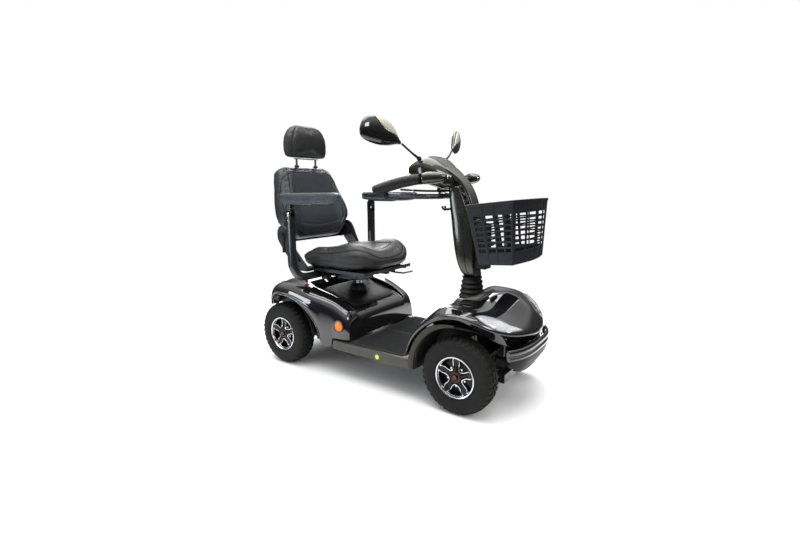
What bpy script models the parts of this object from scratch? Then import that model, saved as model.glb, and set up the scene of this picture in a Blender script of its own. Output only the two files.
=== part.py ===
"""A four-wheeled mobility scooter, in metres, +Z up, front towards -Y.

The origin is on the ground, under the middle of the scooter. Lengths along the
scooter are given as distances behind the front axle, and at() turns such a
place into world coordinates.
"""

import math

import bmesh
import bpy
from mathutils import Matrix, Vector

# Driving dimensions
WHEELBASE = 1.045
FRONT_AXLE_Y = -0.4825
WHEEL_R = 0.165
TYRE_WIDTH = 0.100
RIM_R = 0.0897
FRONT_WHEEL_X = 0.263
REAR_WHEEL_X = 0.273
KINGPIN_X = 0.190
TIE_ROD_Y = 0.065
WHEEL_FACETS = 28
NOSE_Y = -0.2575
TAIL_Y = 1.2225
GAP = 0.0003

FLOOR_TOP = 0.190
FLOOR_HALF_WIDTH = 0.300
FLOOR_FRONT = 0.207
FLOOR_REAR = 0.695
SHELL = 0.005

STEM_Y = 0.080
TILT_Z = 0.480
SEAT_AXIS_Y = 0.775
SEAT_MIDDLE_Y = 0.754
SEAT_REACH = 0.229
RECLINE_Y = 1.075
RECLINE_Z = 0.690
BACK_LEAN = math.radians(16)
ARM_X = 0.322
ARM_Y = 0.933
ARM_PIVOT_Z = 0.840

SIDES = {"right": -1, "left": 1}


def at(x, y, z):
    """World point from x, a distance behind the front axle, and a height."""
    return Vector((x, FRONT_AXLE_Y + y, z))


# ---------------------------------------------------------------- materials

PALETTE = {
    "gloss_black": ((0.008, 0.008, 0.009), 0.10, 0.0),
    "olive_black": ((0.030, 0.030, 0.024), 0.22, 0.3),
    "grey_trim": ((0.085, 0.083, 0.072), 0.40, 0.2),
    "matte_black": ((0.012, 0.012, 0.013), 0.60, 0.0),
    "mat_rubber": ((0.045, 0.045, 0.047), 0.80, 0.0),
    "black_steel": ((0.012, 0.012, 0.013), 0.32, 0.4),
    "vinyl_blue": ((0.040, 0.048, 0.060), 0.42, 0.0),
    "vinyl_grey": ((0.050, 0.050, 0.050), 0.40, 0.0),
    "tyre": ((0.018, 0.018, 0.018), 0.78, 0.0),
    "rim_silver": ((0.620, 0.620, 0.630), 0.22, 1.0),
    "grip_foam": ((0.020, 0.020, 0.022), 0.65, 0.0),
    "clear_lens": ((0.850, 0.860, 0.880), 0.06, 0.0),
    "orange_lens": ((0.900, 0.240, 0.020), 0.12, 0.0),
    "red_plastic": ((0.600, 0.020, 0.040), 0.30, 0.0),
    "battery_case": ((0.030, 0.030, 0.035), 0.50, 0.0),
    "drive_metal": ((0.300, 0.300, 0.310), 0.38, 1.0),
    "chrome": ((0.750, 0.750, 0.760), 0.08, 1.0),
    "basket_plastic": ((0.035, 0.035, 0.037), 0.45, 0.0),
}


def make_materials():
    """One Principled material for each entry of the palette."""
    made = {}
    for name, (colour, roughness, metallic) in PALETTE.items():
        mat = bpy.data.materials.new(name)
        mat.use_nodes = True
        shader = mat.node_tree.nodes["Principled BSDF"]
        shader.inputs["Base Color"].default_value = (*colour, 1.0)
        shader.inputs["Roughness"].default_value = roughness
        shader.inputs["Metallic"].default_value = metallic
        mat.diffuse_color = (*colour, 1.0)
        made[name] = mat
    return made


# ------------------------------------------------------------------- shapes


def block(low, high):
    """A box between two corners."""
    low, high = Vector(low), Vector(high)
    bm = bmesh.new()
    size = high - low
    place = Matrix.Translation((low + high) / 2) @ Matrix.Diagonal((*size, 1.0))
    bmesh.ops.create_cube(bm, size=1.0, matrix=place)
    return bm


def loft(rings):
    """A solid through rings of equal length, with flat caps."""
    bm = bmesh.new()
    rows = [[bm.verts.new(p) for p in ring] for ring in rings]
    count = len(rows[0])
    for near, far in zip(rows, rows[1:]):
        for i in range(count):
            j = (i + 1) % count
            bm.faces.new((near[i], near[j], far[j], far[i]))
    bm.faces.new(rows[0])
    bm.faces.new(rows[-1])
    bmesh.ops.recalc_face_normals(bm, faces=bm.faces)
    return bm


def frame_along(axis):
    """Two unit vectors square to an axis and to each other."""
    axis = Vector(axis).normalized()
    helper = Vector((0, 0, 1)) if abs(axis.z) < 0.9 else Vector((0, 1, 0))
    side = axis.cross(helper).normalized()
    return side, axis.cross(side)


def ring_points(centre, side, up, radius, count, turn=0.0, flat=1.0):
    """A circle of points, or an ellipse when flat is not 1."""
    points = []
    for i in range(count):
        angle = turn + 2 * math.pi * i / count
        across = side * (radius * math.cos(angle))
        points.append(centre + across + up * (radius * flat * math.sin(angle)))
    return points


def rod(start, end, radius, count=16, end_radius=None):
    """A round bar, or a cone when the ends differ."""
    start, end = Vector(start), Vector(end)
    side, up = frame_along(end - start)
    last = radius if end_radius is None else end_radius
    return loft(
        [
            ring_points(start, side, up, radius, count),
            ring_points(end, side, up, last, count),
        ]
    )


def pipe(points, radius, count=10, turn=0.0, flat=1.0):
    """A bar swept along points. radius is one number or one for each point."""
    points = [Vector(p) for p in points]
    radii = radius if isinstance(radius, (list, tuple)) else [radius] * len(points)
    side, _ = frame_along(points[1] - points[0])
    rings = []
    for i, point in enumerate(points):
        before = points[max(i - 1, 0)]
        after = points[min(i + 1, len(points) - 1)]
        along = (after - before).normalized()
        side = (side - along * side.dot(along)).normalized()
        up = along.cross(side)
        rings.append(ring_points(point, side, up, radii[i], count, turn, flat))
    return loft(rings)


def smooth_path(points, steps):
    """Points along a Catmull-Rom curve through the given ones."""
    points = [Vector(p) for p in points]
    ends = [points[0] * 2 - points[1], *points, points[-1] * 2 - points[-2]]
    out = []
    for a, b, c, d in zip(ends, ends[1:], ends[2:], ends[3:]):
        for i in range(steps):
            t = i / steps
            out.append(
                0.5
                * (
                    2 * b
                    + (c - a) * t
                    + (2 * a - 5 * b + 4 * c - d) * t**2
                    + (3 * b - a - 3 * c + d) * t**3
                )
            )
    out.append(points[-1])
    return out


def prism(outline, low_x, high_x):
    """An outline of (distance behind the front axle, height), extruded along X."""
    return loft([[at(x, y, z) for y, z in outline] for x in (low_x, high_x)])


def turned(profile, centre, count=32):
    """A closed profile of (x, radius) turned about the X axis through centre."""
    bm = bmesh.new()
    verts = [bm.verts.new(centre + Vector((x, 0, -r))) for x, r in profile]
    closed = all(r > 0 for _, r in profile)
    pairs = list(zip(verts, verts[1:]))
    if closed:
        pairs.append((verts[-1], verts[0]))
    edges = [bm.edges.new(pair) for pair in pairs]
    bmesh.ops.spin(
        bm,
        geom=verts + edges,
        cent=centre,
        axis=(1, 0, 0),
        angle=2 * math.pi,
        steps=count,
        use_merge=True,
    )
    bmesh.ops.remove_doubles(bm, verts=bm.verts, dist=1e-6)
    bmesh.ops.recalc_face_normals(bm, faces=bm.faces)
    return bm


def grid(rows):
    """An open sheet through rows of points. Points that meet are merged."""
    bm = bmesh.new()
    verts = [[bm.verts.new(p) for p in row] for row in rows]
    for near, far in zip(verts, verts[1:]):
        for i in range(len(near) - 1):
            bm.faces.new((near[i], near[i + 1], far[i + 1], far[i]))
    bmesh.ops.remove_doubles(bm, verts=bm.verts, dist=1e-5)
    bmesh.ops.dissolve_degenerate(bm, edges=bm.edges, dist=1e-5)
    bmesh.ops.recalc_face_normals(bm, faces=bm.faces)
    return bm


def curve_value(table, y):
    """Straight-line value at y from a table of (y, value), in rising order of y."""
    if y <= table[0][0]:
        return table[0][1]
    for (y0, v0), (y1, v1) in zip(table, table[1:]):
        if y <= y1:
            return v0 + (v1 - v0) * (y - y0) / (y1 - y0)
    return table[-1][1]


# ------------------------------------------------------------------ objects


class Builder:
    """Makes the bodies' empties and the solids that ride on them."""

    def __init__(self):
        self.materials = make_materials()
        self.empties = {}

    def body(self, name, pivot, parent=None):
        """An empty on a joint's axis, under its parent body's empty."""
        empty = bpy.data.objects.new("body_" + name, None)
        empty.empty_display_size = 0.03
        bpy.context.scene.collection.objects.link(empty)
        pivot = Vector(pivot)
        origin = Vector()
        if parent:
            empty.parent = self.empties[parent][0]
            origin = self.empties[parent][1]
        empty.location = pivot - origin
        self.empties[name] = (empty, pivot)

    def solid(self, name, bm, material, body, sharp=35.0):
        """A mesh in world coordinates becomes an object on its body's pivot."""
        empty, pivot = self.empties[body]
        bmesh.ops.translate(bm, verts=bm.verts, vec=-pivot)
        mesh = bpy.data.meshes.new(name)
        bm.to_mesh(mesh)
        bm.free()
        mesh.shade_smooth()
        mesh.set_sharp_from_angle(angle=math.radians(sharp))
        mesh.materials.append(self.materials[material])
        obj = bpy.data.objects.new(name, mesh)
        bpy.context.scene.collection.objects.link(obj)
        obj.parent = empty
        return obj


def thicken(obj, thickness, offset=-1.0):
    """Gives a sheet its wall."""
    mod = obj.modifiers.new("wall", "SOLIDIFY")
    mod.thickness = thickness
    mod.offset = offset
    mod.use_even_offset = True
    return mod


def fuse(solids, cuts=()):
    """One mesh: the first solid with the others joined and the cuts taken out."""
    collection = bpy.context.scene.collection
    made = []
    for bm in (*solids, *cuts):
        mesh = bpy.data.meshes.new("fuse")
        bm.to_mesh(mesh)
        bm.free()
        obj = bpy.data.objects.new("fuse", mesh)
        collection.objects.link(obj)
        made.append(obj)
    base = made[0]
    for i, other in enumerate(made[1:], start=1):
        mod = base.modifiers.new("step", "BOOLEAN")
        mod.object = other
        mod.operation = "UNION" if i < len(solids) else "DIFFERENCE"
        mod.solver = "EXACT"
    graph = bpy.context.evaluated_depsgraph_get()
    out = bmesh.new()
    out.from_mesh(base.evaluated_get(graph).to_mesh())
    for obj in made:
        mesh = obj.data
        bpy.data.objects.remove(obj)
        bpy.data.meshes.remove(mesh)
    return out


def hollow(obj, cutters):
    """Cuts solids out of an object that keeps its other modifiers."""
    for bm in cutters:
        mesh = bpy.data.meshes.new("cutter")
        bm.to_mesh(mesh)
        bm.free()
        cutter = bpy.data.objects.new("cutter", mesh)
        bpy.context.scene.collection.objects.link(cutter)
        cutter.hide_render = True
        cutter.display_type = "WIRE"
        mod = obj.modifiers.new("cut", "BOOLEAN")
        mod.object = cutter
        mod.operation = "DIFFERENCE"
        mod.solver = "EXACT"


# ------------------------------------------------------------------- wheels


def tyre_profile():
    """Half outline of a squat tyre, mirrored about its middle."""
    half = TYRE_WIDTH / 2
    outer = [
        (half * 0.80, RIM_R + GAP),
        (half * 0.98, 0.112),
        (half, 0.136),
        (half * 0.78, 0.157),
        (half * 0.34, WHEEL_R),
    ]
    return outer + [(-x, r) for x, r in reversed(outer)]


def rim_profile(side):
    """A dished disc wheel with a bead barrel and a hub."""
    points = [
        (-0.050, 0.0),
        (-0.050, 0.030),
        (0.012, 0.030),
        (0.012, 0.076),
        (-0.038, 0.080),
        (-0.038, RIM_R),
        (0.042, RIM_R),
        (0.042, 0.082),
        (0.024, 0.077),
        (0.028, 0.032),
        (0.036, 0.026),
        (0.036, 0.0),
    ]
    return [(x * side, r) for x, r in points]


def build_wheels(b):
    """Four wheels, and the two steered knuckles that hold the front ones."""
    for word, side in SIDES.items():
        knuckle = f"front_knuckle_{word}"
        pivot = at(side * KINGPIN_X, 0, WHEEL_R)
        b.body(knuckle, pivot, "chassis")
        hub_face = side * (FRONT_WHEEL_X - TYRE_WIDTH / 2 - GAP)
        kingpin = rod(pivot - Vector((0, 0, 0.066)), pivot + Vector((0, 0, 0.045)), 0.0215)
        stub = rod(pivot, at(hub_face, 0, WHEEL_R), 0.015)
        arm_x = side * KINGPIN_X
        arm = block(at(arm_x - 0.009, 0.005, 0.100), at(arm_x + 0.009, TIE_ROD_Y + 0.009, 0.112))
        b.solid(knuckle, fuse([kingpin, stub, arm]), "black_steel", knuckle)
        for end, x, y, parent in (
            ("front", FRONT_WHEEL_X, 0.0, knuckle),
            ("rear", REAR_WHEEL_X, WHEELBASE, "chassis"),
        ):
            wheel = f"{end}_wheel_{word}"
            centre = at(side * x, y, WHEEL_R)
            b.body(wheel, centre, parent)
            tyre = turned(tyre_profile(), centre, WHEEL_FACETS)
            b.solid(f"{end}_tyre_{word}", tyre, "tyre", wheel, 25)
            rim = turned(rim_profile(side), centre, WHEEL_FACETS)
            b.solid(f"{end}_rim_{word}", rim, "rim_silver", wheel)

    b.body("tie_rod", at(0, TIE_ROD_Y, 0.092), "chassis")
    end = at(KINGPIN_X, TIE_ROD_Y, 0.092)
    bar = rod(at(-KINGPIN_X, TIE_ROD_Y, 0.092), end, 0.005, 12)
    eyes = [
        rod(at(side * KINGPIN_X, TIE_ROD_Y, 0.085), at(side * KINGPIN_X, TIE_ROD_Y, 0.099), 0.010)
        for side in SIDES.values()
    ]
    b.solid("tie_rod", fuse([bar, *eyes]), "drive_metal", "tie_rod")


# ------------------------------------------------------------------ chassis


def build_chassis(b):
    """The welded frame with its head tube and seat socket, and the drive."""
    solids = [
        block(at(-0.104, 0.050, 0.1005), at(0.104, 0.110, 0.1385)),
        *(
            block(at(side * 0.085 - 0.020, -0.135, 0.100), at(side * 0.085 + 0.020, 1.185, 0.138))
            for side in SIDES.values()
        ),
        block(at(-0.166, -0.020, 0.120), at(0.166, 0.020, 0.175)),
        block(at(-0.104, -0.136, 0.101), at(0.104, -0.105, 0.137)),
        block(at(-0.139, 0.745, 0.102), at(0.139, 0.965, 0.1375)),
        block(at(-0.141, 1.150, 0.101), at(0.141, 1.184, 0.210)),
        rod(at(0, STEM_Y, 0.120), at(0, STEM_Y, 0.400), 0.030, 20),
        rod(at(0, SEAT_AXIS_Y, 0.120), at(0, SEAT_AXIS_Y, 0.395), 0.032, 20),
        prism([(0.100, 0.130), (0.200, 0.130), (0.100, 0.300)], -0.004, 0.004),
        prism([(0.702, 0.130), (0.755, 0.130), (0.755, 0.290)], -0.004, 0.004),
    ]
    cuts = [
        rod(at(0, STEM_Y, 0.295), at(0, STEM_Y, 0.420), 0.0210, 20),
        rod(at(0, SEAT_AXIS_Y, 0.205), at(0, SEAT_AXIS_Y, 0.420), 0.0264, 20),
    ]
    frame = fuse(solids, cuts)
    b.solid("chassis_frame", frame, "black_steel", "chassis")

    case = block(at(-0.075, 0.985, 0.139), at(0.075, 1.115, 0.232))
    axle_end = REAR_WHEEL_X - TYRE_WIDTH / 2 - GAP
    axle = rod(at(-axle_end, WHEELBASE, WHEEL_R), at(axle_end, WHEELBASE, WHEEL_R), 0.020)
    neck = block(at(-0.035, 1.015, 0.200), at(0.035, 1.085, 0.300))
    motor = rod(at(-0.050, 1.050, 0.285), at(0.110, 1.050, 0.285), 0.048, 20)
    b.solid("transaxle", fuse([case, axle, neck, motor]), "drive_metal", "chassis")

    battery = block(at(-0.170, 0.815, 0.138), at(0.170, 0.955, 0.300))
    bmesh.ops.bevel(
        battery, geom=battery.edges, offset=0.006, segments=1, affect="EDGES"
    )
    b.solid("battery_pack", battery, "battery_case", "chassis")


def build_floor(b):
    """The floor pan with its sills and wheel-arch lips, and the rubber mat."""
    outer = block(
        at(-FLOOR_HALF_WIDTH, FLOOR_FRONT, 0.142), at(FLOOR_HALF_WIDTH, FLOOR_REAR, FLOOR_TOP)
    )
    lips = []
    for side in SIDES.values():
        lips.append(arch_lip(side))
    inside = block(
        at(-FLOOR_HALF_WIDTH + 0.006, FLOOR_FRONT + 0.006, 0.130),
        at(FLOOR_HALF_WIDTH - 0.006, FLOOR_REAR - 0.006, FLOOR_TOP - 0.006),
    )
    b.solid("floor_pan", fuse([outer, *lips], [inside]), "grey_trim", "chassis", 30)

    mat = block(
        at(-0.280, 0.275, FLOOR_TOP + GAP), at(0.280, 0.590, FLOOR_TOP + 0.006)
    )
    b.solid("floor_mat", mat, "mat_rubber", "chassis")


LIP_INNER = 0.207
LIP_OUTER = 0.245


def arch_lip(side):
    """A band round a front wheel, from the sill to just past its top."""
    steps = 12
    angles = [math.radians(-5 + 107 * i / steps) for i in range(steps + 1)]
    outer = [(LIP_OUTER * math.cos(a), WHEEL_R + LIP_OUTER * math.sin(a)) for a in angles]
    inner = [(LIP_INNER * math.cos(a), WHEEL_R + LIP_INNER * math.sin(a)) for a in angles]
    return prism(outer + inner[::-1], side * 0.2865, side * 0.3015)


# ----------------------------------------------------------------- bodywork

HOOD_CREST = [
    (-0.2555, 0.312),
    (-0.250, 0.330),
    (-0.235, 0.368),
    (-0.210, 0.418),
    (-0.150, 0.467),
    (-0.080, 0.484),
    (0.000, 0.462),
    (0.060, 0.440),
    (0.135, 0.412),
    (0.180, 0.385),
    (0.235, 0.330),
    (0.262, 0.215),
]


def hood_edge(y):
    """Height of the hood's lower edge: the arch lip's outside, then the nose."""
    if y > 0.240:
        return 0.198
    if y > -0.080:
        return WHEEL_R + math.sqrt((LIP_OUTER + 0.0045) ** 2 - y * y)
    return curve_value([(-0.2555, 0.300), (-0.190, 0.302), (-0.120, 0.350), (-0.080, 0.399)], y)


def hood_half_width(y):
    """Full width over the wheels, inside the lips behind them, rounded in front."""
    if y >= 0:
        return curve_value([(0.060, FLOOR_HALF_WIDTH), (0.100, 0.2855)], y)
    power = 2.2
    return max(0.02, FLOOR_HALF_WIDTH * (1 - (-y / 0.2562) ** power) ** (1 / power))


def hood_point(t, y):
    """A point of the hood, t of the way from its middle to its left edge."""
    edge, crest = hood_edge(y), curve_value(HOOD_CREST, y)
    rise = (crest - edge) * math.sqrt(max(0.0, 1 - abs(t) ** 2.6))
    return at(hood_half_width(y) * t, y, edge + rise)


def hood_outward(t, y):
    """The hood's outward direction at a point."""
    along = hood_point(t, y + 0.004) - hood_point(t, y - 0.004)
    across = hood_point(t + 0.01, y) - hood_point(t - 0.01, y)
    return across.cross(along).normalized()


def build_hood(b):
    """The front cover as a thin shell, with a hole for the steering stem."""
    columns = 9
    rows = []
    between = [-0.115, -0.045, 0.030, 0.085, 0.110, 0.160, 0.205, 0.225, 0.239, 0.241]
    for y in sorted([y for y, _ in HOOD_CREST] + between):
        turns = [math.sin(math.pi / 2 * (i / columns - 1)) for i in range(2 * columns + 1)]
        rows.append([hood_point(t, y) for t in turns])
    hood = b.solid("hood", grid(rows), "gloss_black", "chassis", 50)
    thicken(hood, SHELL)
    hollow(hood, [rod(at(0, STEM_Y, 0.300), at(0, STEM_Y, 0.600), 0.0605, 24)])

    for word, side in SIDES.items():
        lens = headlight(side)
        b.solid(f"headlight_{word}", lens, "clear_lens", "chassis")
    build_front_bumper(b)
    build_boot(b)


def headlight(side):
    """An almond lens laid along the hood's front corner."""
    rings = []
    for i in range(11):
        u = i / 10
        y = -0.080 - 0.142 * u
        open_to = max(0.06, math.sin(math.pi * u)) ** 0.8
        middle = 0.90 - 0.06 * u
        top, bottom = middle - 0.16 * open_to, middle + 0.075 * open_to
        near, far = [], []
        for k in range(5):
            t = side * (top + (bottom - top) * k / 4)
            out = hood_outward(t, y)
            near.append(hood_point(t, y) + out * 0.0030)
            far.append(hood_point(t, y) + out * 0.0070)
        rings.append(near + far[::-1])
    return loft(rings)


def bumper_outline(half_x, depth, steps=14, reach=0.215):
    """A blunt curve across the front, as (x, distance behind the front axle)."""
    points = []
    for i in range(steps + 1):
        x = reach * math.sin(math.pi / 2 * (2 * i / steps - 1))
        points.append((x, -depth * (1 - (abs(x) / half_x) ** 3) ** (1 / 3)))
    return points


def build_front_bumper(b):
    """A curved bar under the nose, with a chin that runs back beneath it."""
    rings = []
    for x, y in bumper_outline(0.290, -NOSE_Y):
        reach = curve_value([(0.100, 0.106), (0.140, 0.050)], abs(x))
        if abs(x) > 0.14:
            reach = min(reach, -0.192 - y)
        section = [
            (y + 0.004, 0.292),
            (y, 0.280),
            (y + 0.001, 0.258),
            (y + 0.12 * reach, 0.215),
            (y + 0.40 * reach, 0.160),
            (y + reach, 0.129),
            (y + reach, 0.141),
            (y + 0.40 * reach + 0.010, 0.168),
            (y + 0.12 * reach + 0.012, 0.215),
            (y + 0.016, 0.258),
            (y + 0.016, 0.292),
        ]
        rings.append([at(x, *point) for point in section])
    b.solid("front_bumper", loft(rings), "gloss_black", "chassis")


def build_boot(b):
    """The bellows round the stem, open at its top and bottom."""
    folds = 5
    low, high = 0.398, 0.512
    outer, inner = [], []
    for i in range(2 * folds + 1):
        t = i / (2 * folds)
        radius = 0.058 - 0.016 * t + (0.0 if i % 2 else 0.003) * (1 - t)
        z = low + (high - low) * t
        outer.append((radius, z))
        inner.append((radius - 0.0045, z))
    profile = outer + inner[::-1]
    count = 24
    bm = bmesh.new()
    rings = [
        [bm.verts.new(p) for p in ring_points(at(0, STEM_Y, z), Vector((1, 0, 0)), Vector((0, 1, 0)), r, count)]
        for r, z in profile
    ]
    for near, far in zip(rings, rings[1:] + rings[:1]):
        for i in range(count):
            j = (i + 1) % count
            bm.faces.new((near[i], near[j], far[j], far[i]))
    bmesh.ops.recalc_face_normals(bm, faces=bm.faces)
    b.solid("tiller_boot", bm, "matte_black", "chassis", 30)


REAR_RIDGE = [
    (0.600, 0.316),
    (0.680, 0.368),
    (0.770, 0.398),
    (0.890, 0.425),
    (0.985, 0.443),
    (1.080, 0.439),
    (1.150, 0.410),
    (1.198, 0.352),
]
REAR_WELL = [
    (0.600, 0.296),
    (0.660, 0.330),
    (0.720, 0.346),
    (0.800, 0.364),
    (0.860, 0.377),
    (0.890, 0.390),
    (0.930, 0.422),
    (0.970, 0.440),
    (1.080, 0.438),
    (1.150, 0.409),
    (1.198, 0.351),
]
REAR_WIDTH = [
    (0.600, 0.280),
    (0.618, 0.290),
    (0.686, 0.290),
    (0.750, 0.305),
    (0.850, 0.318),
    (1.050, 0.322),
    (1.120, 0.312),
    (1.170, 0.280),
    (1.198, 0.230),
]
ARCH_HALF_LENGTH = 0.275
ARCH_HEIGHT = 0.220


def rear_edge(y):
    """Height of the rear cover's lower edge, with the wheel arch."""
    if y < 0.700:
        return 0.1975
    if y < WHEELBASE - ARCH_HALF_LENGTH:
        return 0.150
    if y > 1.100:
        return curve_value([(1.100, 0.350), (1.130, 0.318), (1.198, 0.290)], y)
    reach = (y - WHEELBASE) / ARCH_HALF_LENGTH
    return max(0.150, WHEEL_R + ARCH_HEIGHT * math.sqrt(max(0.0, 1 - reach * reach)))


def rear_section(y):
    """One cross-section of the rear cover, from its right edge to its left."""
    half = curve_value(REAR_WIDTH, y)
    ridge = curve_value(REAR_RIDGE, y)
    edge = rear_edge(y)
    middle = curve_value(REAR_WELL, y)
    right = [
        (half, edge),
        (half, edge + (ridge - 0.030 - edge) * 0.5),
        (half, ridge - 0.030),
        (half - 0.012, ridge - 0.010),
        (half - 0.040, ridge),
        (min(0.205, half - 0.055), ridge),
        (min(0.185, half - 0.075), middle),
        (0.090, middle),
    ]
    points = [(-x, z) for x, z in right] + [(0.0, middle)]
    points += [(x, z) for x, z in reversed(right)]
    return [at(x, y, z) for x, z in points]


ARCH_START = WHEELBASE - ARCH_HALF_LENGTH
REAR_STATIONS = [0.600, 0.618, 0.640, 0.686, 0.697, 0.712, 0.740, ARCH_START - 0.004]
REAR_STATIONS += [ARCH_START + 0.008, 0.800, 0.830, 0.866, 0.910, 0.940, 0.980, 1.010]
REAR_STATIONS += [1.050, 1.100, 1.130, 1.165, 1.198]


def build_rear_cover(b):
    """The rear cover over the drive, its seat well, bumper and reflectors."""
    sections = [rear_section(y) for y in REAR_STATIONS]
    front = [Vector((p.x, p.y, 0.1975)) for p in sections[0]]
    tail = [Vector((p.x, p.y, 0.290)) for p in sections[-1]]
    cover = b.solid("rear_cover", grid([front, *sections, tail]), "gloss_black", "chassis", 50)
    thicken(cover, SHELL)
    post_hole = (at(0, SEAT_AXIS_Y, 0.200), at(0, SEAT_AXIS_Y, 0.600))
    hollow(cover, [rod(*post_hole, 0.0375, 20)])

    rings = []
    for y in [y for y in REAR_STATIONS if 0.64 <= y <= 0.87]:
        top = curve_value(REAR_WELL, y) + 0.001
        corners = [(-0.172, top), (0.172, top), (0.168, top + 0.007), (-0.168, top + 0.007)]
        rings.append([at(x, y, z) for x, z in corners])
    panel = fuse([loft(rings)], [rod(*post_hole, 0.036, 20)])
    b.solid("seat_well_panel", panel, "matte_black", "chassis")

    rings = []
    for i in range(13):
        x = 0.215 * math.sin(math.pi / 2 * (i / 6 - 1))
        y = TAIL_Y - 0.55 * x * x
        section = [(y, 0.195), (y, 0.245), (y - 0.020, 0.250), (y - 0.020, 0.190)]
        rings.append([at(x, *point) for point in section])
    b.solid("rear_bumper", loft(rings), "matte_black", "chassis")

    for word, side in SIDES.items():
        half = curve_value(REAR_WIDTH, 0.650)
        inner = at(side * (half + 0.0006), 0.652, 0.268)
        outer = at(side * (half + 0.0075), 0.652, 0.268)
        reflector = rod(inner, outer, 0.030, 24, 0.027)
        b.solid(f"side_reflector_{word}", reflector, "orange_lens", "chassis")

    lever_x, lever_y = -0.225, 0.940
    base = curve_value(REAR_RIDGE, lever_y) + 0.002
    b.body("freewheel_lever", at(lever_x, lever_y, base + 0.006), "chassis")
    stalk = rod(at(lever_x, lever_y, base), at(lever_x, lever_y, base + 0.016), 0.004, 10)
    knob = rod(at(lever_x, lever_y, base + 0.006), at(lever_x, lever_y, base + 0.0235), 0.008, 12)
    b.solid("freewheel_lever", fuse([stalk, knob]), "red_plastic", "freewheel_lever")


# --------------------------------------------------------------------- seat


def build_seat_base(b):
    """The post, the turntable, the slide rails and the seat frame."""
    b.body("seat_post", at(0, SEAT_AXIS_Y, 0.395), "chassis")
    post = rod(at(0, SEAT_AXIS_Y, 0.215), at(0, SEAT_AXIS_Y, 0.452), 0.0262, 20)
    flange = rod(at(0, SEAT_AXIS_Y, 0.446), at(0, SEAT_AXIS_Y, 0.454), 0.060, 20)
    b.solid("seat_post", fuse([post, flange]), "black_steel", "seat_post")

    b.body("seat_swivel", at(0, SEAT_AXIS_Y, 0.4543), "seat_post")
    disc = rod(at(0, SEAT_AXIS_Y, 0.4543), at(0, SEAT_AXIS_Y, 0.466), 0.085, 28)
    bridge = block(at(-0.112, 0.735, 0.464), at(0.112, 0.815, 0.474))
    rails = [
        block(at(side * 0.100 - 0.012, 0.640, 0.470), at(side * 0.100 + 0.012, 0.880, 0.486))
        for side in SIDES.values()
    ]
    b.solid("seat_turntable", fuse([disc, bridge, *rails]), "black_steel", "seat_swivel")

    b.body("seat_slide", at(0, SEAT_AXIS_Y, 0.490), "seat_swivel")
    plate = block(at(-0.200, 0.560, 0.508), at(0.200, 0.930, 0.5245))
    cross = block(at(-0.250, 0.905, 0.509), at(0.250, 0.960, 0.524))
    runners = [
        block(at(side * 0.100 - 0.012, 0.600, 0.4863), at(side * 0.100 + 0.012, 0.840, 0.510))
        for side in SIDES.values()
    ]
    outline = [
        (0.906, 0.5095),
        (0.977, 0.5095),
        (1.102, 0.655),
        (1.102, 0.712),
        (1.060, 0.722),
        (1.020, 0.650),
        (0.906, 0.535),
    ]
    cheeks = [prism(outline, side * 0.243, side * 0.251) for side in SIDES.values()]
    frame = fuse([plate, cross, *runners, *cheeks])
    b.solid("seat_frame", frame, "black_steel", "seat_slide")

    cover_outline = [
        (0.960, 0.560),
        (1.000, 0.556),
        (1.040, 0.580),
        (1.108, 0.660),
        (1.112, 0.712),
        (1.095, 0.738),
        (1.060, 0.742),
        (1.030, 0.715),
    ]
    for word, side in SIDES.items():
        cover = prism(cover_outline, side * 0.2515, side * 0.263)
        b.solid(f"recline_cover_{word}", cover, "matte_black", "seat_slide")

    build_seat_cushion(b)
    build_seat_levers(b)


def seat_outline(grow):
    """The cushion's plan: wide and round in front, narrower at the back."""
    points = []
    for i in range(24):
        angle = 2 * math.pi * i / 24
        c, s = math.cos(angle), math.sin(angle)
        x = math.copysign(abs(c) ** 0.55, c)
        y = math.copysign(abs(s) ** 0.55, s)
        width = 0.250 if y < 0 else 0.250 - 0.028 * y
        points.append((x * (width + grow), SEAT_MIDDLE_Y + y * (SEAT_REACH + grow)))
    return points


def build_seat_cushion(b):
    """A plain solid the size of the padded cushion."""
    rings = []
    for z, grow in ((0.5255, -0.022), (0.545, 0.0), (0.610, 0.0), (0.642, -0.020), (0.655, -0.070)):
        rings.append([at(x, y, z) for x, y in seat_outline(grow)])
    b.solid("seat_cushion", loft(rings), "vinyl_grey", "seat_slide", 60)


def build_seat_levers(b):
    """The two release levers that reach out under the cushion's left front."""
    b.body("swivel_lever", at(0.150, 0.700, 0.495), "seat_slide")
    points = [(0.150, 0.700, 0.496), (0.190, 0.680, 0.494), (0.245, 0.650, 0.484), (0.272, 0.640, 0.480)]
    lever = pipe([at(*p) for p in points], 0.0045, 8)
    b.solid("swivel_lever", lever, "black_steel", "swivel_lever")

    b.body("slide_lever", at(0.060, 0.600, 0.495), "seat_slide")
    points = [(0.060, 0.600, 0.497), (0.060, 0.560, 0.494), (0.080, 0.522, 0.490), (0.160, 0.520, 0.488)]
    lever = pipe([at(*p) for p in points], 0.0045, 8)
    b.solid("slide_lever", lever, "black_steel", "slide_lever")

    b.body("recline_lever", at(-0.2636, RECLINE_Y, RECLINE_Z), "seat_slide")
    hub = rod(at(-0.2634, RECLINE_Y, RECLINE_Z), at(-0.270, RECLINE_Y, RECLINE_Z), 0.013, 14)
    arm = block(at(-0.2695, 1.052, 0.600), at(-0.2655, 1.068, 0.690))
    b.solid("recline_lever", fuse([hub, arm]), "matte_black", "recline_lever")


def back_point(x, up, forward):
    """A point of the backrest: along its lean and square to it."""
    lean = Vector((0, math.sin(BACK_LEAN), math.cos(BACK_LEAN)))
    ahead = Vector((0, -math.cos(BACK_LEAN), math.sin(BACK_LEAN)))
    return at(x, 1.060, 0.655) + lean * up + ahead * forward


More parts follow.
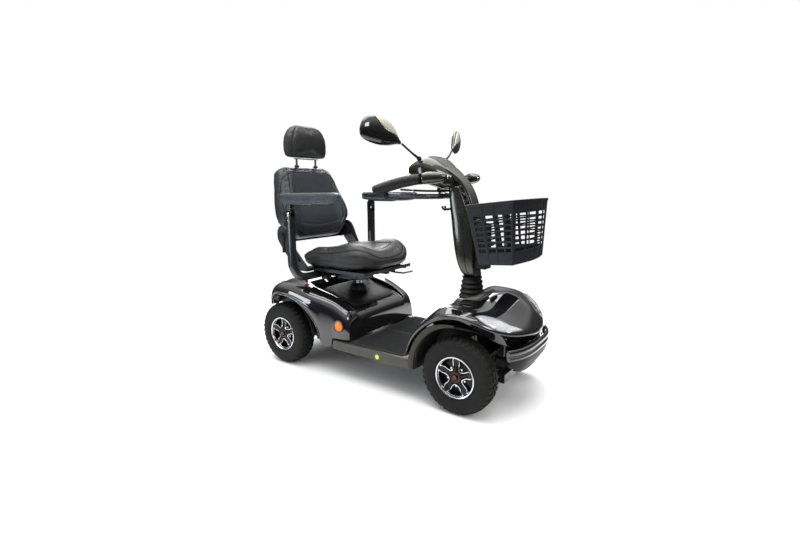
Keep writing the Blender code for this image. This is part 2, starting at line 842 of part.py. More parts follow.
def back_block(low, high):
    """A box in the backrest's own leaning directions."""
    rings = []
    for x in (low[0], high[0]):
        corners = [(low[1], low[2]), (high[1], low[2]), (high[1], high[2]), (low[1], high[2])]
        rings.append([back_point(x, up, forward) for up, forward in corners])
    return loft(rings)


def build_backrest(b):
    """The reclining backrest on its pivots, and the headrest on two rods."""
    b.body("backrest", at(0, RECLINE_Y, RECLINE_Z), "seat_slide")
    plate = back_block((-0.165, 0.020, -0.0505), (0.165, 0.370, -0.0445))
    foot = back_block((-0.2405, 0.004, -0.0520), (0.2405, 0.070, -0.0450))
    ears = [
        back_block((side * 0.2415, 0.002, -0.0500), (side * 0.2290, 0.068, 0.018))
        for side in SIDES.values()
    ]
    b.solid("backrest_frame", fuse([plate, foot, *ears]), "black_steel", "backrest")

    widths = [(0.0, 0.194), (0.045, 0.208), (0.078, 0.226), (0.115, 0.254), (0.17, 0.256), (0.26, 0.242)]
    widths += [(0.405, 0.214)]
    rings = []
    for up, squeeze in (
        (0.000, 0.45),
        (0.012, 0.85),
        (0.060, 1.0),
        (0.110, 1.0),
        (0.170, 1.0),
        (0.260, 1.0),
        (0.340, 1.0),
        (0.390, 0.85),
        (0.402, 0.45),
    ):
        half = curve_value(widths, up)
        ring = []
        for i in range(20):
            angle = 2 * math.pi * i / 20
            c, s = math.cos(angle), math.sin(angle)
            x = math.copysign(abs(c) ** 0.5, c) * (half - 0.02 * (1 - squeeze))
            depth = math.copysign(abs(s) ** 0.6, s) * 0.044 * squeeze
            ring.append(back_point(x, up, depth))
        rings.append(ring)
    bores = [
        rod(at(side * 0.072, 1.145, 0.940), at(side * 0.072, 1.145, 1.120), 0.009, 10)
        for side in SIDES.values()
    ]
    cushion = fuse([loft(rings)], bores)
    b.solid("backrest_cushion", cushion, "vinyl_blue", "backrest", 60)

    b.body("headrest", at(0, 1.145, 1.060), "backrest")
    rods = [
        rod(at(side * 0.072, 1.145, 0.985), at(side * 0.072, 1.145, 1.102), 0.006, 10)
        for side in SIDES.values()
    ]
    bar = block(at(-0.085, 1.137, 1.099), at(0.085, 1.153, 1.104))
    b.solid("headrest_rods", fuse([*rods, bar]), "chrome", "headrest")

    rings = []
    for z, half, deep in (
        (1.1045, 0.130, 0.030),
        (1.114, 0.155, 0.044),
        (1.160, 0.168, 0.050),
        (1.220, 0.160, 0.049),
        (1.265, 0.130, 0.042),
        (1.288, 0.095, 0.030),
        (1.295, 0.060, 0.016),
    ):
        ring = []
        for i in range(16):
            angle = 2 * math.pi * i / 16
            c, s = math.cos(angle), math.sin(angle)
            x = math.copysign(abs(c) ** 0.6, c) * half
            ring.append(at(x, 1.150 + math.copysign(abs(s) ** 0.7, s) * deep, z))
        rings.append(ring)
    b.solid("headrest_cushion", loft(rings), "vinyl_grey", "headrest", 60)


def build_arms(b):
    """An L-shaped post and a hinged pad on each side."""
    for word, side in SIDES.items():
        post_body = f"arm_post_{word}"
        b.body(post_body, at(side * ARM_X, ARM_Y, 0.490), "seat_slide")
        path = [
            (side * ARM_X, ARM_Y, 0.812),
            (side * ARM_X, ARM_Y, 0.575),
            (side * (ARM_X - 0.004), ARM_Y - 0.003, 0.540),
            (side * (ARM_X - 0.016), ARM_Y - 0.010, 0.508),
            (side * (ARM_X - 0.036), ARM_Y - 0.020, 0.489),
            (side * (ARM_X - 0.064), ARM_Y - 0.026, 0.4845),
            (side * (ARM_X - 0.090), ARM_Y - 0.028, 0.4845),
            (side * 0.128, ARM_Y - 0.028, 0.4845),
        ]
        bar = pipe([at(*p) for p in path], 0.0230, 4, math.pi / 4)
        b.solid(f"arm_post_{word}", bar, "black_steel", post_body)

        pad_body = f"armrest_{word}"
        b.body(pad_body, at(side * ARM_X, ARM_Y, ARM_PIVOT_Z), post_body)
        ear = block(at(side * ARM_X - 0.014, 0.916, 0.825), at(side * ARM_X + 0.014, 0.950, 0.870))
        rings = []
        for y, low, high, half in (
            (0.990, 0.866, 0.905, 0.020),
            (0.982, 0.862, 0.912, 0.028),
            (0.900, 0.862, 0.914, 0.029),
            (0.700, 0.864, 0.916, 0.029),
            (0.630, 0.868, 0.918, 0.027),
            (0.606, 0.876, 0.914, 0.020),
            (0.600, 0.886, 0.906, 0.012),
        ):
            middle, deep = (low + high) / 2, (high - low) / 2
            ring = []
            for i in range(12):
                angle = 2 * math.pi * (i + 0.5) / 12
                c, s = math.cos(angle), math.sin(angle)
                x = math.copysign(abs(c) ** 0.6, c) * half
                ring.append(at(side * ARM_X + x, y, middle + math.copysign(abs(s) ** 0.6, s) * deep))
            rings.append(ring)
        b.solid(f"arm_pad_{word}", fuse([loft(rings), ear]), "vinyl_blue", pad_body, 45)


# ------------------------------------------------------------------- tiller


def build_tiller(b):
    """Stem, column, console, bars, grips, controls, mirrors and basket."""
    b.body("steering_stem", at(0, STEM_Y, 0.400), "chassis")
    shaft = rod(at(0, STEM_Y, 0.300), at(0, STEM_Y, 0.410), 0.0204, 20)
    collar = rod(at(0, STEM_Y, 0.4003), at(0, STEM_Y, 0.448), 0.033, 20)
    cheeks = [
        block(at(side * 0.025 - 0.005, 0.066, 0.440), at(side * 0.025 + 0.005, 0.094, 0.496))
        for side in SIDES.values()
    ]
    b.solid("steering_stem", fuse([shaft, collar, *cheeks]), "black_steel", "steering_stem")

    b.body("tiller", at(0, STEM_Y, TILT_Z), "steering_stem")
    sections = [
        (0.533, 0.044, 0.112, 0.030),
        (0.560, 0.0560, 0.136, 0.041),
        (0.620, 0.0560, 0.155, 0.046),
        (0.720, 0.0560, 0.173, 0.047),
        (0.794, 0.0560, 0.181, 0.046),
        (0.808, 0.0790, 0.182, 0.046),
        (0.830, 0.092, 0.186, 0.046),
        (0.900, 0.116, 0.193, 0.044),
        (0.9315, 0.130, 0.197, 0.042),
    ]
    rings = []
    for z, front, rear, half in sections:
        middle, deep = (front + rear) / 2, (rear - front) / 2
        ring = []
        for i in range(12):
            angle = 2 * math.pi * (i + 0.5) / 12
            c, s = math.cos(angle), math.sin(angle)
            x = math.copysign(abs(c) ** 0.5, c) * half
            ring.append(at(x, middle + math.copysign(abs(s) ** 0.5, s) * deep, z))
        rings.append(ring)
    tongue = block(at(-0.018, 0.066, 0.462), at(0.018, 0.094, 0.560))
    bracket = [(0.001, 0.560), (0.070, 0.575), (0.070, 0.780), (0.0062, 0.790)]
    bracket += [(-0.0160, 0.700), (-0.0160, 0.680), (0.001, 0.640)]
    solids = [loft(rings), tongue, prism(bracket, -0.030, 0.030)]
    b.solid("tiller_column", fuse(solids), "olive_black", "tiller", 40)

    b.body("tiller_lever", at(0.0515, 0.112, 0.600), "tiller")
    hub = rod(at(0.0475, 0.112, 0.600), at(0.0555, 0.112, 0.600), 0.010, 14)
    blade = block(at(0.0510, 0.110, 0.5945), at(0.0548, 0.168, 0.6055))
    b.solid("tiller_lever", fuse([hub, blade]), "matte_black", "tiller_lever")

    build_console(b)
    build_bars(b)
    build_controls(b)
    build_mirrors(b)
    build_basket(b)


def build_console(b):
    """The domed head, the arched spine in front of it and the two pods."""
    stations = [
        (0.376, 1.004, 1.036, 0.100),
        (0.370, 0.992, 1.048, 0.118),
        (0.340, 0.976, 1.068, 0.130),
        (0.290, 0.952, 1.082, 0.132),
        (0.240, 0.936, 1.066, 0.112),
        (0.200, 0.932, 1.036, 0.080),
        (0.170, 0.934, 1.012, 0.052),
        (0.152, 0.940, 0.998, 0.042),
    ]
    rings = []
    for y, low, high, half in stations:
        middle, deep = (low + high) / 2, (high - low) / 2
        ring = []
        for i in range(16):
            angle = 2 * math.pi * (i + 0.5) / 16
            c, s = math.cos(angle), math.sin(angle)
            x = math.copysign(abs(c) ** 0.7, c) * half
            ring.append(at(x, y, middle + math.copysign(abs(s) ** 0.8, s) * deep))
        rings.append(ring)
    spine = [
        (0.190, 1.022),
        (0.140, 0.986),
        (0.100, 0.938),
        (0.070, 0.870),
        (0.0570, 0.8095),
        (0.0760, 0.8095),
        (0.088, 0.862),
        (0.116, 0.922),
        (0.152, 0.962),
        (0.200, 0.996),
    ]
    pods = []
    for side in SIDES.values():
        path = [
            (0.150, 0.134, 0.980, 0.006),
            (0.153, 0.140, 0.980, 0.015),
            (0.163, 0.158, 0.980, 0.023),
            (0.183, 0.195, 0.979, 0.029),
            (0.200, 0.232, 0.975, 0.025),
        ]
        points = [at(side * x, y, z) for x, y, z, _ in path]
        pods.append(pipe(points, [r for *_, r in path], 14))
        arm = [(0.060, 0.214, 0.966), (0.120, 0.206, 0.972), (0.178, 0.200, 0.977)]
        pods.append(pipe([at(side * x, y, z) for x, y, z in arm], 0.018, 10))
    console = fuse([loft(rings), prism(spine, -0.036, 0.036), *pods])
    b.solid("console", console, "olive_black", "tiller", 40)


def build_bars(b):
    """The bar that passes behind the column, and the two swept grips."""
    half = [(0.0, 0.224, 0.898), (0.060, 0.238, 0.898), (0.130, 0.290, 0.899)]
    half += [(0.200, 0.352, 0.902), (0.2455, 0.392, 0.906)]
    points = [at(-x, y, z) for x, y, z in reversed(half[1:])] + [at(x, y, z) for x, y, z in half]
    b.solid("handlebar", pipe(smooth_path(points, 2), 0.0125, 10), "black_steel", "tiller")
    for word, side in SIDES.items():
        path = [
            (0.201, 0.2400, 0.974, 0.021),
            (0.212, 0.262, 0.971, 0.0235),
            (0.236, 0.315, 0.960, 0.0245),
            (0.262, 0.370, 0.943, 0.0240),
            (0.280, 0.410, 0.929, 0.0215),
            (0.288, 0.428, 0.922, 0.0130),
        ]
        points = [at(side * x, y, z) for x, y, z, _ in path]
        grip = pipe(points, [r for *_, r in path], 14)
        b.solid(f"grip_{word}", grip, "grip_foam", "tiller", 50)


def build_controls(b):
    """The speed lever, the dial, the horn button and the key."""
    b.body("throttle_lever", at(0, 0.150, 0.925), "tiller")
    half = [(0.0, 0.2220, 0.9225), (0.050, 0.228, 0.9225), (0.110, 0.268, 0.9235), (0.150, 0.305, 0.9260)]
    points = [at(-x, y, z) for x, y, z in reversed(half[1:])] + [at(x, y, z) for x, y, z in half]
    bar = pipe(points, 0.0045, 8)
    paddles = [
        pipe([at(side * 0.142, 0.298, 0.9255), at(side * 0.185, 0.350, 0.930)], [0.006, 0.010], 8, 0, 0.5)
        for side in SIDES.values()
    ]
    b.solid("throttle_lever", fuse([bar, *paddles]), "matte_black", "throttle_lever")

    b.body("speed_dial", at(0, 0.3763, 1.020), "tiller")
    dial = rod(at(0, 0.3766, 1.020), at(0, 0.388, 1.020), 0.014, 16, 0.012)
    b.solid("speed_dial", dial, "drive_metal", "speed_dial")

    b.body("horn_button", at(0.055, 0.3766, 1.020), "tiller")
    button = rod(at(0.055, 0.3810, 1.020), at(0.055, 0.3870, 1.020), 0.008, 12)
    b.solid("horn_button", button, "red_plastic", "horn_button")

    b.body("key", at(-0.055, 0.3766, 1.020), "tiller")
    barrel = rod(at(-0.055, 0.3766, 1.020), at(-0.055, 0.384, 1.020), 0.008, 12)
    bow = block(at(-0.0565, 0.382, 1.009), at(-0.0535, 0.408, 1.031))
    b.solid("key", fuse([barrel, bow]), "chrome", "key")


def build_mirrors(b):
    """A stem from the console and a teardrop head that turns on its ball."""
    for word, side in SIDES.items():
        root = at(side * 0.112, 0.300, 1.0655)
        ball = at(side * 0.222, 0.318, 1.124)
        stem = pipe([root, at(side * 0.170, 0.306, 1.092), ball], [0.006, 0.0045, 0.0045], 8)
        b.solid(f"mirror_stem_{word}", stem, "black_steel", "tiller")
        b.body(f"mirror_{word}", ball, "tiller")
        tip = at(side * 0.415, 0.387, 1.190)
        along = (tip - ball).normalized()
        face = Vector((-side * 0.33, 0.94, 0.0))
        face = (face - along * face.dot(along)).normalized()
        up = along.cross(face)
        if up.z < 0:
            up = -up
        length = (tip - ball).length
        rings = []
        for t, half, deep, lift in (
            (0.035, 0.008, 0.008, 0.0),
            (0.14, 0.014, 0.010, 0.002),
            (0.28, 0.038, 0.018, 0.008),
            (0.45, 0.054, 0.022, 0.010),
            (0.70, 0.058, 0.022, 0.008),
            (0.88, 0.047, 0.018, 0.004),
            (0.97, 0.028, 0.012, 0.0),
            (1.00, 0.012, 0.006, 0.0),
        ):
            centre = ball + along * (length * t) + up * lift
            rings.append(ring_points(centre, up, face, half, 14, 0, deep / half))
        b.solid(f"mirror_head_{word}", loft(rings), "gloss_black", f"mirror_{word}", 50)


def basket_ring(z_shift, inset, top):
    """One outline of the basket, seen from above, with a bowed front."""
    if top:
        back_y, front_y, back_z, front_z, back_half, front_half, bow = 0.019, -0.186, 0.866, 0.888, 0.200, 0.206, 0.026
    else:
        back_y, front_y, back_z, front_z, back_half, front_half, bow = -0.034, -0.184, 0.621, 0.634, 0.176, 0.182, 0.026
    outline = [(back_half, back_y), (front_half, front_y)]
    for i in range(1, 6):
        t = i / 6
        outline.append((front_half * (1 - 2 * t), front_y - bow * math.sin(math.pi * t)))
    outline += [(-front_half, front_y), (-back_half, back_y)]
    ring = []
    for x, y in outline:
        share = (y - back_y) / (front_y - back_y)
        z = back_z + (front_z - back_z) * share + z_shift
        ring.append(at(x - math.copysign(inset, x) * (abs(x) > 0.01), y, z))
    for i, point in enumerate(ring):
        back = i in (0, len(ring) - 1)
        point.y += -inset if back else inset
    return ring


def build_basket(b):
    """An open tub that hangs on its bracket."""
    b.body("basket", at(0, 0.0, 0.750), "tiller")
    wall = 0.004
    rings = [
        basket_ring(0.0, 0.0, False),
        basket_ring(0.0, 0.0, True),
        basket_ring(0.0, wall, True),
        basket_ring(wall, wall, False),
    ]
    b.solid("basket", loft(rings), "basket_plastic", "basket", 30)


# --------------------------------------------------------------------- main


def main():
    """Clears the scene and builds the scooter."""
    for obj in list(bpy.data.objects):
        bpy.data.objects.remove(obj)
    b = Builder()
    b.body("chassis", at(0, 0, 0))
    build_chassis(b)
    build_floor(b)
    build_hood(b)
    build_rear_cover(b)
    build_wheels(b)
    build_seat_base(b)
    build_backrest(b)
    build_arms(b)
    build_tiller(b)


main()
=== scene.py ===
import math

import bmesh
import bpy
from mathutils import Matrix, Vector
from mathutils.bvhtree import BVHTree
from mathutils.kdtree import KDTree


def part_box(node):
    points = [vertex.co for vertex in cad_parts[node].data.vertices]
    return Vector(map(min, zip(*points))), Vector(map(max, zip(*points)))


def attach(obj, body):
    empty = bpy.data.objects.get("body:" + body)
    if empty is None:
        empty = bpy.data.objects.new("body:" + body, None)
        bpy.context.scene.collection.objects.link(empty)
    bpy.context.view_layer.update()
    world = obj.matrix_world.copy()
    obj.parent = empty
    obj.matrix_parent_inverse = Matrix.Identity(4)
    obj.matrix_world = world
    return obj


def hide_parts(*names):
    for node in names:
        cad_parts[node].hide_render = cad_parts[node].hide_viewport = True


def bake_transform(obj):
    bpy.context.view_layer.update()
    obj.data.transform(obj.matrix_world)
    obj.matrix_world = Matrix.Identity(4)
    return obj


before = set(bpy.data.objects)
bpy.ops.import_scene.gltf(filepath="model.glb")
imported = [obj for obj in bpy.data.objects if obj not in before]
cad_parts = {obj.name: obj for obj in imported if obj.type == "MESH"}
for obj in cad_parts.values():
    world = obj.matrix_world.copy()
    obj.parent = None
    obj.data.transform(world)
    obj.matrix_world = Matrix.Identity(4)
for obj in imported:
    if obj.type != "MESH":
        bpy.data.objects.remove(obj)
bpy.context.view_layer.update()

# The CAD's driving dimensions, in metres. Every y but AXLE_Y is a distance behind the front axle.
AXLE_Y = -0.4825
WHEELBASE = 1.045
WHEEL_R = 0.165
STEM_Y = 0.08
SEAT_Y = 0.775
BACK_LEAN = math.radians(16)
SIDES = {"right": -1, "left": 1}


def at(x, y, z):
    """World point from x, a distance behind the front axle, and a height."""
    return Vector((x, AXLE_Y + y, z))


# ---------------------------------------------------------------- materials


def set_inputs(node, values):
    """Sets a node's sockets from keywords, whose underscores stand for spaces."""
    for key, value in values.items():
        node.inputs[key.replace("_", " ")].default_value = value


def material(name, colour, rough, metallic=0.0, vary=0.1, grain=0.0, scale=700.0,
             kind="noise", rough_vary=0.05, depth=0.0006, **sockets):
    """A Principled material with its own colour drift, roughness drift and surface grain."""
    mat = bpy.data.materials.new(name)
    mat.use_nodes = True
    nodes, links = mat.node_tree.nodes, mat.node_tree.links
    shader = nodes["Principled BSDF"]
    place = nodes.new("ShaderNodeTexCoord").outputs["Object"]

    def texture(node_type, **inputs):
        made = nodes.new(node_type)
        set_inputs(made, inputs)
        links.new(place, made.inputs["Vector"])
        return made

    drift = texture("ShaderNodeTexNoise", Scale=9.0, Detail=6.0)
    ramp = nodes.new("ShaderNodeValToRGB")
    dark, light = ramp.color_ramp.elements
    dark.position, light.position = 0.3, 0.7
    dark.color = (*[c * (1 - vary) for c in colour], 1.0)
    light.color = (*[min(1.0, c * (1 + vary)) for c in colour], 1.0)
    links.new(drift.outputs["Fac"], ramp.inputs["Fac"])
    links.new(ramp.outputs["Color"], shader.inputs["Base Color"])

    smudge = texture("ShaderNodeTexNoise", Scale=31.0, Detail=4.0)
    span = nodes.new("ShaderNodeMapRange")
    set_inputs(span, {"From Min": 0.3, "From Max": 0.7, "To Min": max(0.02, rough - rough_vary),
                      "To Max": min(1.0, rough + rough_vary)})
    links.new(smudge.outputs["Fac"], span.inputs["Value"])
    links.new(span.outputs["Result"], shader.inputs["Roughness"])

    if grain:
        bump = nodes.new("ShaderNodeBump")
        set_inputs(bump, {"Strength": grain, "Distance": depth})
        if kind == "leather":
            cells = texture("ShaderNodeTexVoronoi", Scale=scale)
            cells.feature = "DISTANCE_TO_EDGE"
            flat = nodes.new("ShaderNodeMapRange")
            set_inputs(flat, {"From Max": 0.35})
            links.new(cells.outputs["Distance"], flat.inputs["Value"])
            height = flat.outputs["Result"]
        elif kind == "cells":
            height = texture("ShaderNodeTexVoronoi", Scale=scale, Randomness=0.0).outputs["Distance"]
        else:
            height = texture("ShaderNodeTexNoise", Scale=scale, Detail=3.0).outputs["Fac"]
        links.new(height, bump.inputs["Height"])
        links.new(bump.outputs["Normal"], shader.inputs["Normal"])

    shader.inputs["Metallic"].default_value = metallic
    set_inputs(shader, sockets)
    mat.diffuse_color = (*colour, 1.0)
    return mat


M = {
    "gloss_black": material("gloss_black", (0.006, 0.006, 0.007), 0.07, grain=0.05, scale=90,
                            rough_vary=0.03, Coat_Weight=1.0, Coat_Roughness=0.03),
    "olive": material("olive_black", (0.014, 0.0138, 0.0095), 0.18, grain=0.05, scale=140,
                      Coat_Weight=0.6, Coat_Roughness=0.08),
    "trim": material("grey_trim", (0.034, 0.0325, 0.025), 0.34, grain=0.25, scale=900),
    "matte": material("matte_black", (0.006, 0.006, 0.006), 0.5, grain=0.5, scale=1100,
                      Specular_IOR_Level=0.3),
    "mat": material("mat_rubber", (0.02, 0.0205, 0.021), 0.85, grain=0.6, scale=1300,
                    Specular_IOR_Level=0.3),
    "steel": material("black_steel", (0.011, 0.011, 0.012), 0.3, grain=0.25, scale=1500,
                      Coat_Weight=0.4, Coat_Roughness=0.15),
    "vinyl_blue": material("vinyl_blue", (0.013, 0.0165, 0.0225), 0.33, grain=0.55, scale=620,
                           kind="leather", vary=0.16),
    "vinyl_dark": material("vinyl_dark", (0.01, 0.011, 0.013), 0.4, grain=0.55, scale=620,
                           kind="leather", vary=0.16, Sheen_Weight=0.1, Sheen_Roughness=0.4),
    "vinyl_grey": material("vinyl_grey", (0.0125, 0.013, 0.0128), 0.34, grain=0.55, scale=620,
                           kind="leather", vary=0.16),
    "thread": material("thread", (0.1, 0.1, 0.105), 0.75, grain=0.8, scale=2500),
    "tyre": material("tyre", (0.0075, 0.0075, 0.007), 0.66, grain=0.5, scale=700, vary=0.2,
                     Specular_IOR_Level=0.2),
    "band": material("band_dark", (0.02, 0.019, 0.0145), 0.36, grain=0.25, scale=900,
                     Specular_IOR_Level=0.35),
    "lip": material("lip_black", (0.005, 0.005, 0.0055), 0.42, grain=0.1, scale=400, Specular_IOR_Level=0.15),
    "charcoal": material("charcoal_cover", (0.02, 0.02, 0.022), 0.46, grain=0.5, scale=1100,
                         Specular_IOR_Level=0.4),
    "vinyl_arm": material("vinyl_arm", (0.044, 0.054, 0.07), 0.3, grain=0.5, scale=620,
                          kind="leather", vary=0.14),
    "rim_black": material("rim_black", (0.005, 0.005, 0.006), 0.3, grain=0.1, scale=300,
                          Specular_IOR_Level=0.25),
    "rim_silver": material("rim_silver", (0.62, 0.62, 0.63), 0.22, metallic=1.0, grain=0.12,
                           scale=1400, vary=0.05),
    "bronze": material("bronze_nut", (0.1, 0.055, 0.04), 0.32, metallic=1.0, grain=0.2),
    "grip": material("grip_rubber", (0.008, 0.008, 0.0085), 0.5, grain=0.6, scale=1600,
                     Specular_IOR_Level=0.35),
    "lens": material("clear_lens", (0.93, 0.94, 0.95), 0.04, vary=0.01, rough_vary=0.01,
                     Transmission_Weight=0.85, IOR=1.45),
    "reflector": material("lamp_reflector", (0.92, 0.93, 0.94), 0.2, metallic=0.35,
                          grain=0.5, scale=160, kind="cells", depth=0.002),
    "bezel": material("lamp_bezel", (0.3, 0.3, 0.3), 0.25, metallic=0.6, grain=0.1),
    "orange": material("orange_lens", (0.74, 0.19, 0.002), 0.22, grain=0.8, scale=210,
                       kind="cells", depth=0.002, Coat_Weight=0.3, Coat_Roughness=0.05),
    "yellow": material("yellow_lens", (0.6, 0.62, 0.04), 0.12, grain=0.8, scale=210,
                       kind="cells", depth=0.002, Coat_Weight=0.8, Coat_Roughness=0.05),
    "red_lens": material("red_lens", (0.5, 0.008, 0.01), 0.1, grain=0.8, scale=210,
                         kind="cells", depth=0.002, Coat_Weight=0.8, Coat_Roughness=0.05),
    "red": material("red_plastic", (0.55, 0.012, 0.03), 0.28, grain=0.1),
    "white": material("white_plastic", (0.75, 0.75, 0.74), 0.35, grain=0.1),
    "battery": material("battery_case", (0.028, 0.029, 0.033), 0.5, grain=0.5, scale=900),
    "drive": material("drive_metal", (0.26, 0.26, 0.27), 0.38, metallic=1.0, grain=0.5,
                      scale=420, vary=0.15),
    "chrome": material("chrome", (0.74, 0.75, 0.76), 0.06, metallic=1.0, vary=0.03,
                       rough_vary=0.02),
    "basket": material("basket_plastic", (0.011, 0.0115, 0.0135), 0.36, grain=0.35, scale=1000,
                       Specular_IOR_Level=0.4),
    "mirror": material("mirror_glass", (0.86, 0.87, 0.88), 0.03, metallic=1.0, vary=0.01,
                       rough_vary=0.01),
    # The pale sheet on top of each mirror head: a painted reflection of the glass seen at a grazing angle
    "pearl": material("painted_reflection_sheet", (0.66, 0.64, 0.5), 0.3, metallic=0.35, grain=0.1),
    "gauge": material("gauge_face", (0.012, 0.013, 0.014), 0.1, Coat_Weight=1.0),
}


# ------------------------------------------------------------ mesh building


def link_mesh(name, bm):
    """A linked object from a bmesh, with its faces turned outward. The bmesh is used up."""
    bmesh.ops.recalc_face_normals(bm, faces=bm.faces)
    mesh = bpy.data.meshes.new(name)
    bm.to_mesh(mesh)
    bm.free()
    obj = bpy.data.objects.new(name, mesh)
    bpy.context.scene.collection.objects.link(obj)
    return obj


def subdivide(obj, levels):
    """Adds a subdivision surface."""
    mod = obj.modifiers.new("subdivision", "SUBSURF")
    mod.levels = mod.render_levels = levels


def bevel_edges(obj, width, segments, angle):
    """Adds a bevel to edges sharper than an angle in degrees."""
    mod = obj.modifiers.new("bevel", "BEVEL")
    mod.width = width
    mod.segments = segments
    mod.limit_method = "ANGLE"
    mod.angle_limit = math.radians(angle)
    return mod


def new_object(name, bm, mat, body, smooth=True, angle=40.0, levels=0,
               replaces=(), bevel=0.0, segments=2):
    """A finished piece from a bmesh: shaded, coloured, and riding on its body."""
    obj = link_mesh(name, bm)
    for entry in [mat] if isinstance(mat, str) else mat:
        obj.data.materials.append(M[entry])
    if bevel:
        bevel_edges(obj, bevel, segments, 32).harden_normals = True
    if levels:
        subdivide(obj, levels)
    if smooth:
        obj.data.shade_smooth()
        if not levels:
            obj.data.set_sharp_from_angle(angle=math.radians(angle))
    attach(obj, body)
    if replaces:
        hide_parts(*replaces)
    return obj


def frame_along(axis, hint=None):
    """Two unit vectors square to an axis and to each other."""
    axis = Vector(axis).normalized()
    helper = hint or (Vector((0, 0, 1)) if abs(axis.z) < 0.9 else Vector((0, 1, 0)))
    side = axis.cross(helper).normalized()
    return side, side.cross(axis) * -1


def add_loft(bm, rings, caps=True, mat=0, close=False):
    """Adds a skin through rings of equal length to a bmesh."""
    rows = [[bm.verts.new(p) for p in ring] for ring in rings]
    count = len(rows[0])
    pairs = list(zip(rows, rows[1:]))
    if close:
        pairs.append((rows[-1], rows[0]))
    for near, far in pairs:
        for i in range(count):
            j = (i + 1) % count
            bm.faces.new((near[i], near[j], far[j], far[i])).material_index = mat
    if caps and not close:
        bm.faces.new(rows[0]).material_index = mat
        bm.faces.new(rows[-1]).material_index = mat
    return rows


def add_grid(bm, rows, mat=0):
    """Adds an open sheet through rows of points."""
    verts = [[bm.verts.new(p) for p in row] for row in rows]
    for near, far in zip(verts, verts[1:]):
        for i in range(len(near) - 1):
            bm.faces.new((near[i], near[i + 1], far[i + 1], far[i])).material_index = mat
    return verts


def add_box(bm, low, high, mat=0, matrix=None):
    """Adds a box between two corners."""
    low, high = Vector(low), Vector(high)
    place = Matrix.Translation((low + high) / 2) @ Matrix.Diagonal((*(high - low), 1.0))
    if matrix is not None:
        place = matrix @ place
    made = bmesh.ops.create_cube(bm, size=1.0, matrix=place)
    for face in {f for v in made["verts"] for f in v.link_faces}:
        face.material_index = mat


def turns(count, start=0.0):
    """Angles in equal steps once round a circle, the first one start steps on."""
    return [2 * math.pi * (i + start) / count for i in range(count)]


def bent(value, power):
    """A power that keeps its sign, to square off a sine or cosine."""
    return math.copysign(abs(value) ** power, value)


def along_loop(loop):
    """Each point of a closed loop, with the direction of travel there."""
    return [(p, (loop[(i + 1) % len(loop)] - loop[i - 1]).normalized()) for i, p in enumerate(loop)]


def circle(centre, side, up, radius, count, turn=0.0, flat=1.0, power=1.0):
    """A ring of points: a circle, an ellipse, or a rounded square."""
    points = []
    for angle in turns(count):
        c, s = bent(math.cos(turn + angle), power), bent(math.sin(turn + angle), power)
        points.append(centre + side * (radius * c) + up * (radius * flat * s))
    return points


def add_tube(bm, points, radius, count=12, mat=0, flat=1.0, power=1.0, hint=None, turn=0.0):
    """Adds a capped tube along points. radius is one number or one for each point."""
    points = [Vector(p) for p in points]
    radii = radius if isinstance(radius, (list, tuple)) else [radius] * len(points)
    side, _ = frame_along(points[1] - points[0], hint)
    rings = []
    for i, point in enumerate(points):
        before, after = points[max(i - 1, 0)], points[min(i + 1, len(points) - 1)]
        along = (after - before).normalized()
        side = (side - along * side.dot(along)).normalized()
        rings.append(circle(point, side, along.cross(side), radii[i], count, turn, flat, power))
    add_loft(bm, rings, mat=mat)


def add_lathe(bm, profile, centre, axis, count=32, mat=0, close=False):
    """Adds a turned body: profile is (distance along the axis, radius)."""
    axis = Vector(axis).normalized()
    side, up = frame_along(axis)
    rings = [
        circle(Vector(centre) + axis * d, side, up, max(r, 0.00005), count) for d, r in profile
    ]
    add_loft(bm, rings, mat=mat, close=close)


def add_bolt(bm, centre, axis, radius, mat=0, washer=True):
    """A domed bolt head with a socket, on its washer."""
    r = radius
    profile = [(-0.001, r * 1.0), (r * 0.35, r * 1.0), (r * 0.62, r * 0.82), (r * 0.72, r * 0.5)]
    profile += [(r * 0.72, r * 0.42), (r * 0.35, r * 0.38), (r * 0.35, 0.0)]
    add_lathe(bm, profile, centre, axis, 16, mat)
    if washer:
        add_lathe(bm, [(-0.0012, r * 1.5), (r * 0.12, r * 1.5), (r * 0.16, r * 1.4), (r * 0.16, 0.0)],
                  centre, axis, 20, mat)


def delete_near(bm, y, radius):
    """Opens a hole in a cover round an upright on the centre line."""
    gone = [f for f in bm.faces if (f.calc_center_median() - at(0, y, 0)).xy.length < radius]
    bmesh.ops.delete(bm, geom=gone, context="FACES")


def curve(points, steps=6, closed=False):
    """Points along a Catmull-Rom curve through the given ones."""
    points = [Vector(p) for p in points]
    if closed:
        ends = [points[-1], *points, points[0], points[1]]
    else:
        ends = [points[0] * 2 - points[1], *points, points[-1] * 2 - points[-2]]
    out = []
    for a, b, c, d in zip(ends, ends[1:], ends[2:], ends[3:]):
        for i in range(steps):
            t = i / steps
            out.append(0.5 * (2 * b + (c - a) * t + (2 * a - 5 * b + 4 * c - d) * t**2
                              + (3 * b - a - 3 * c + d) * t**3))
    if not closed:
        out.append(points[-1])
    return out


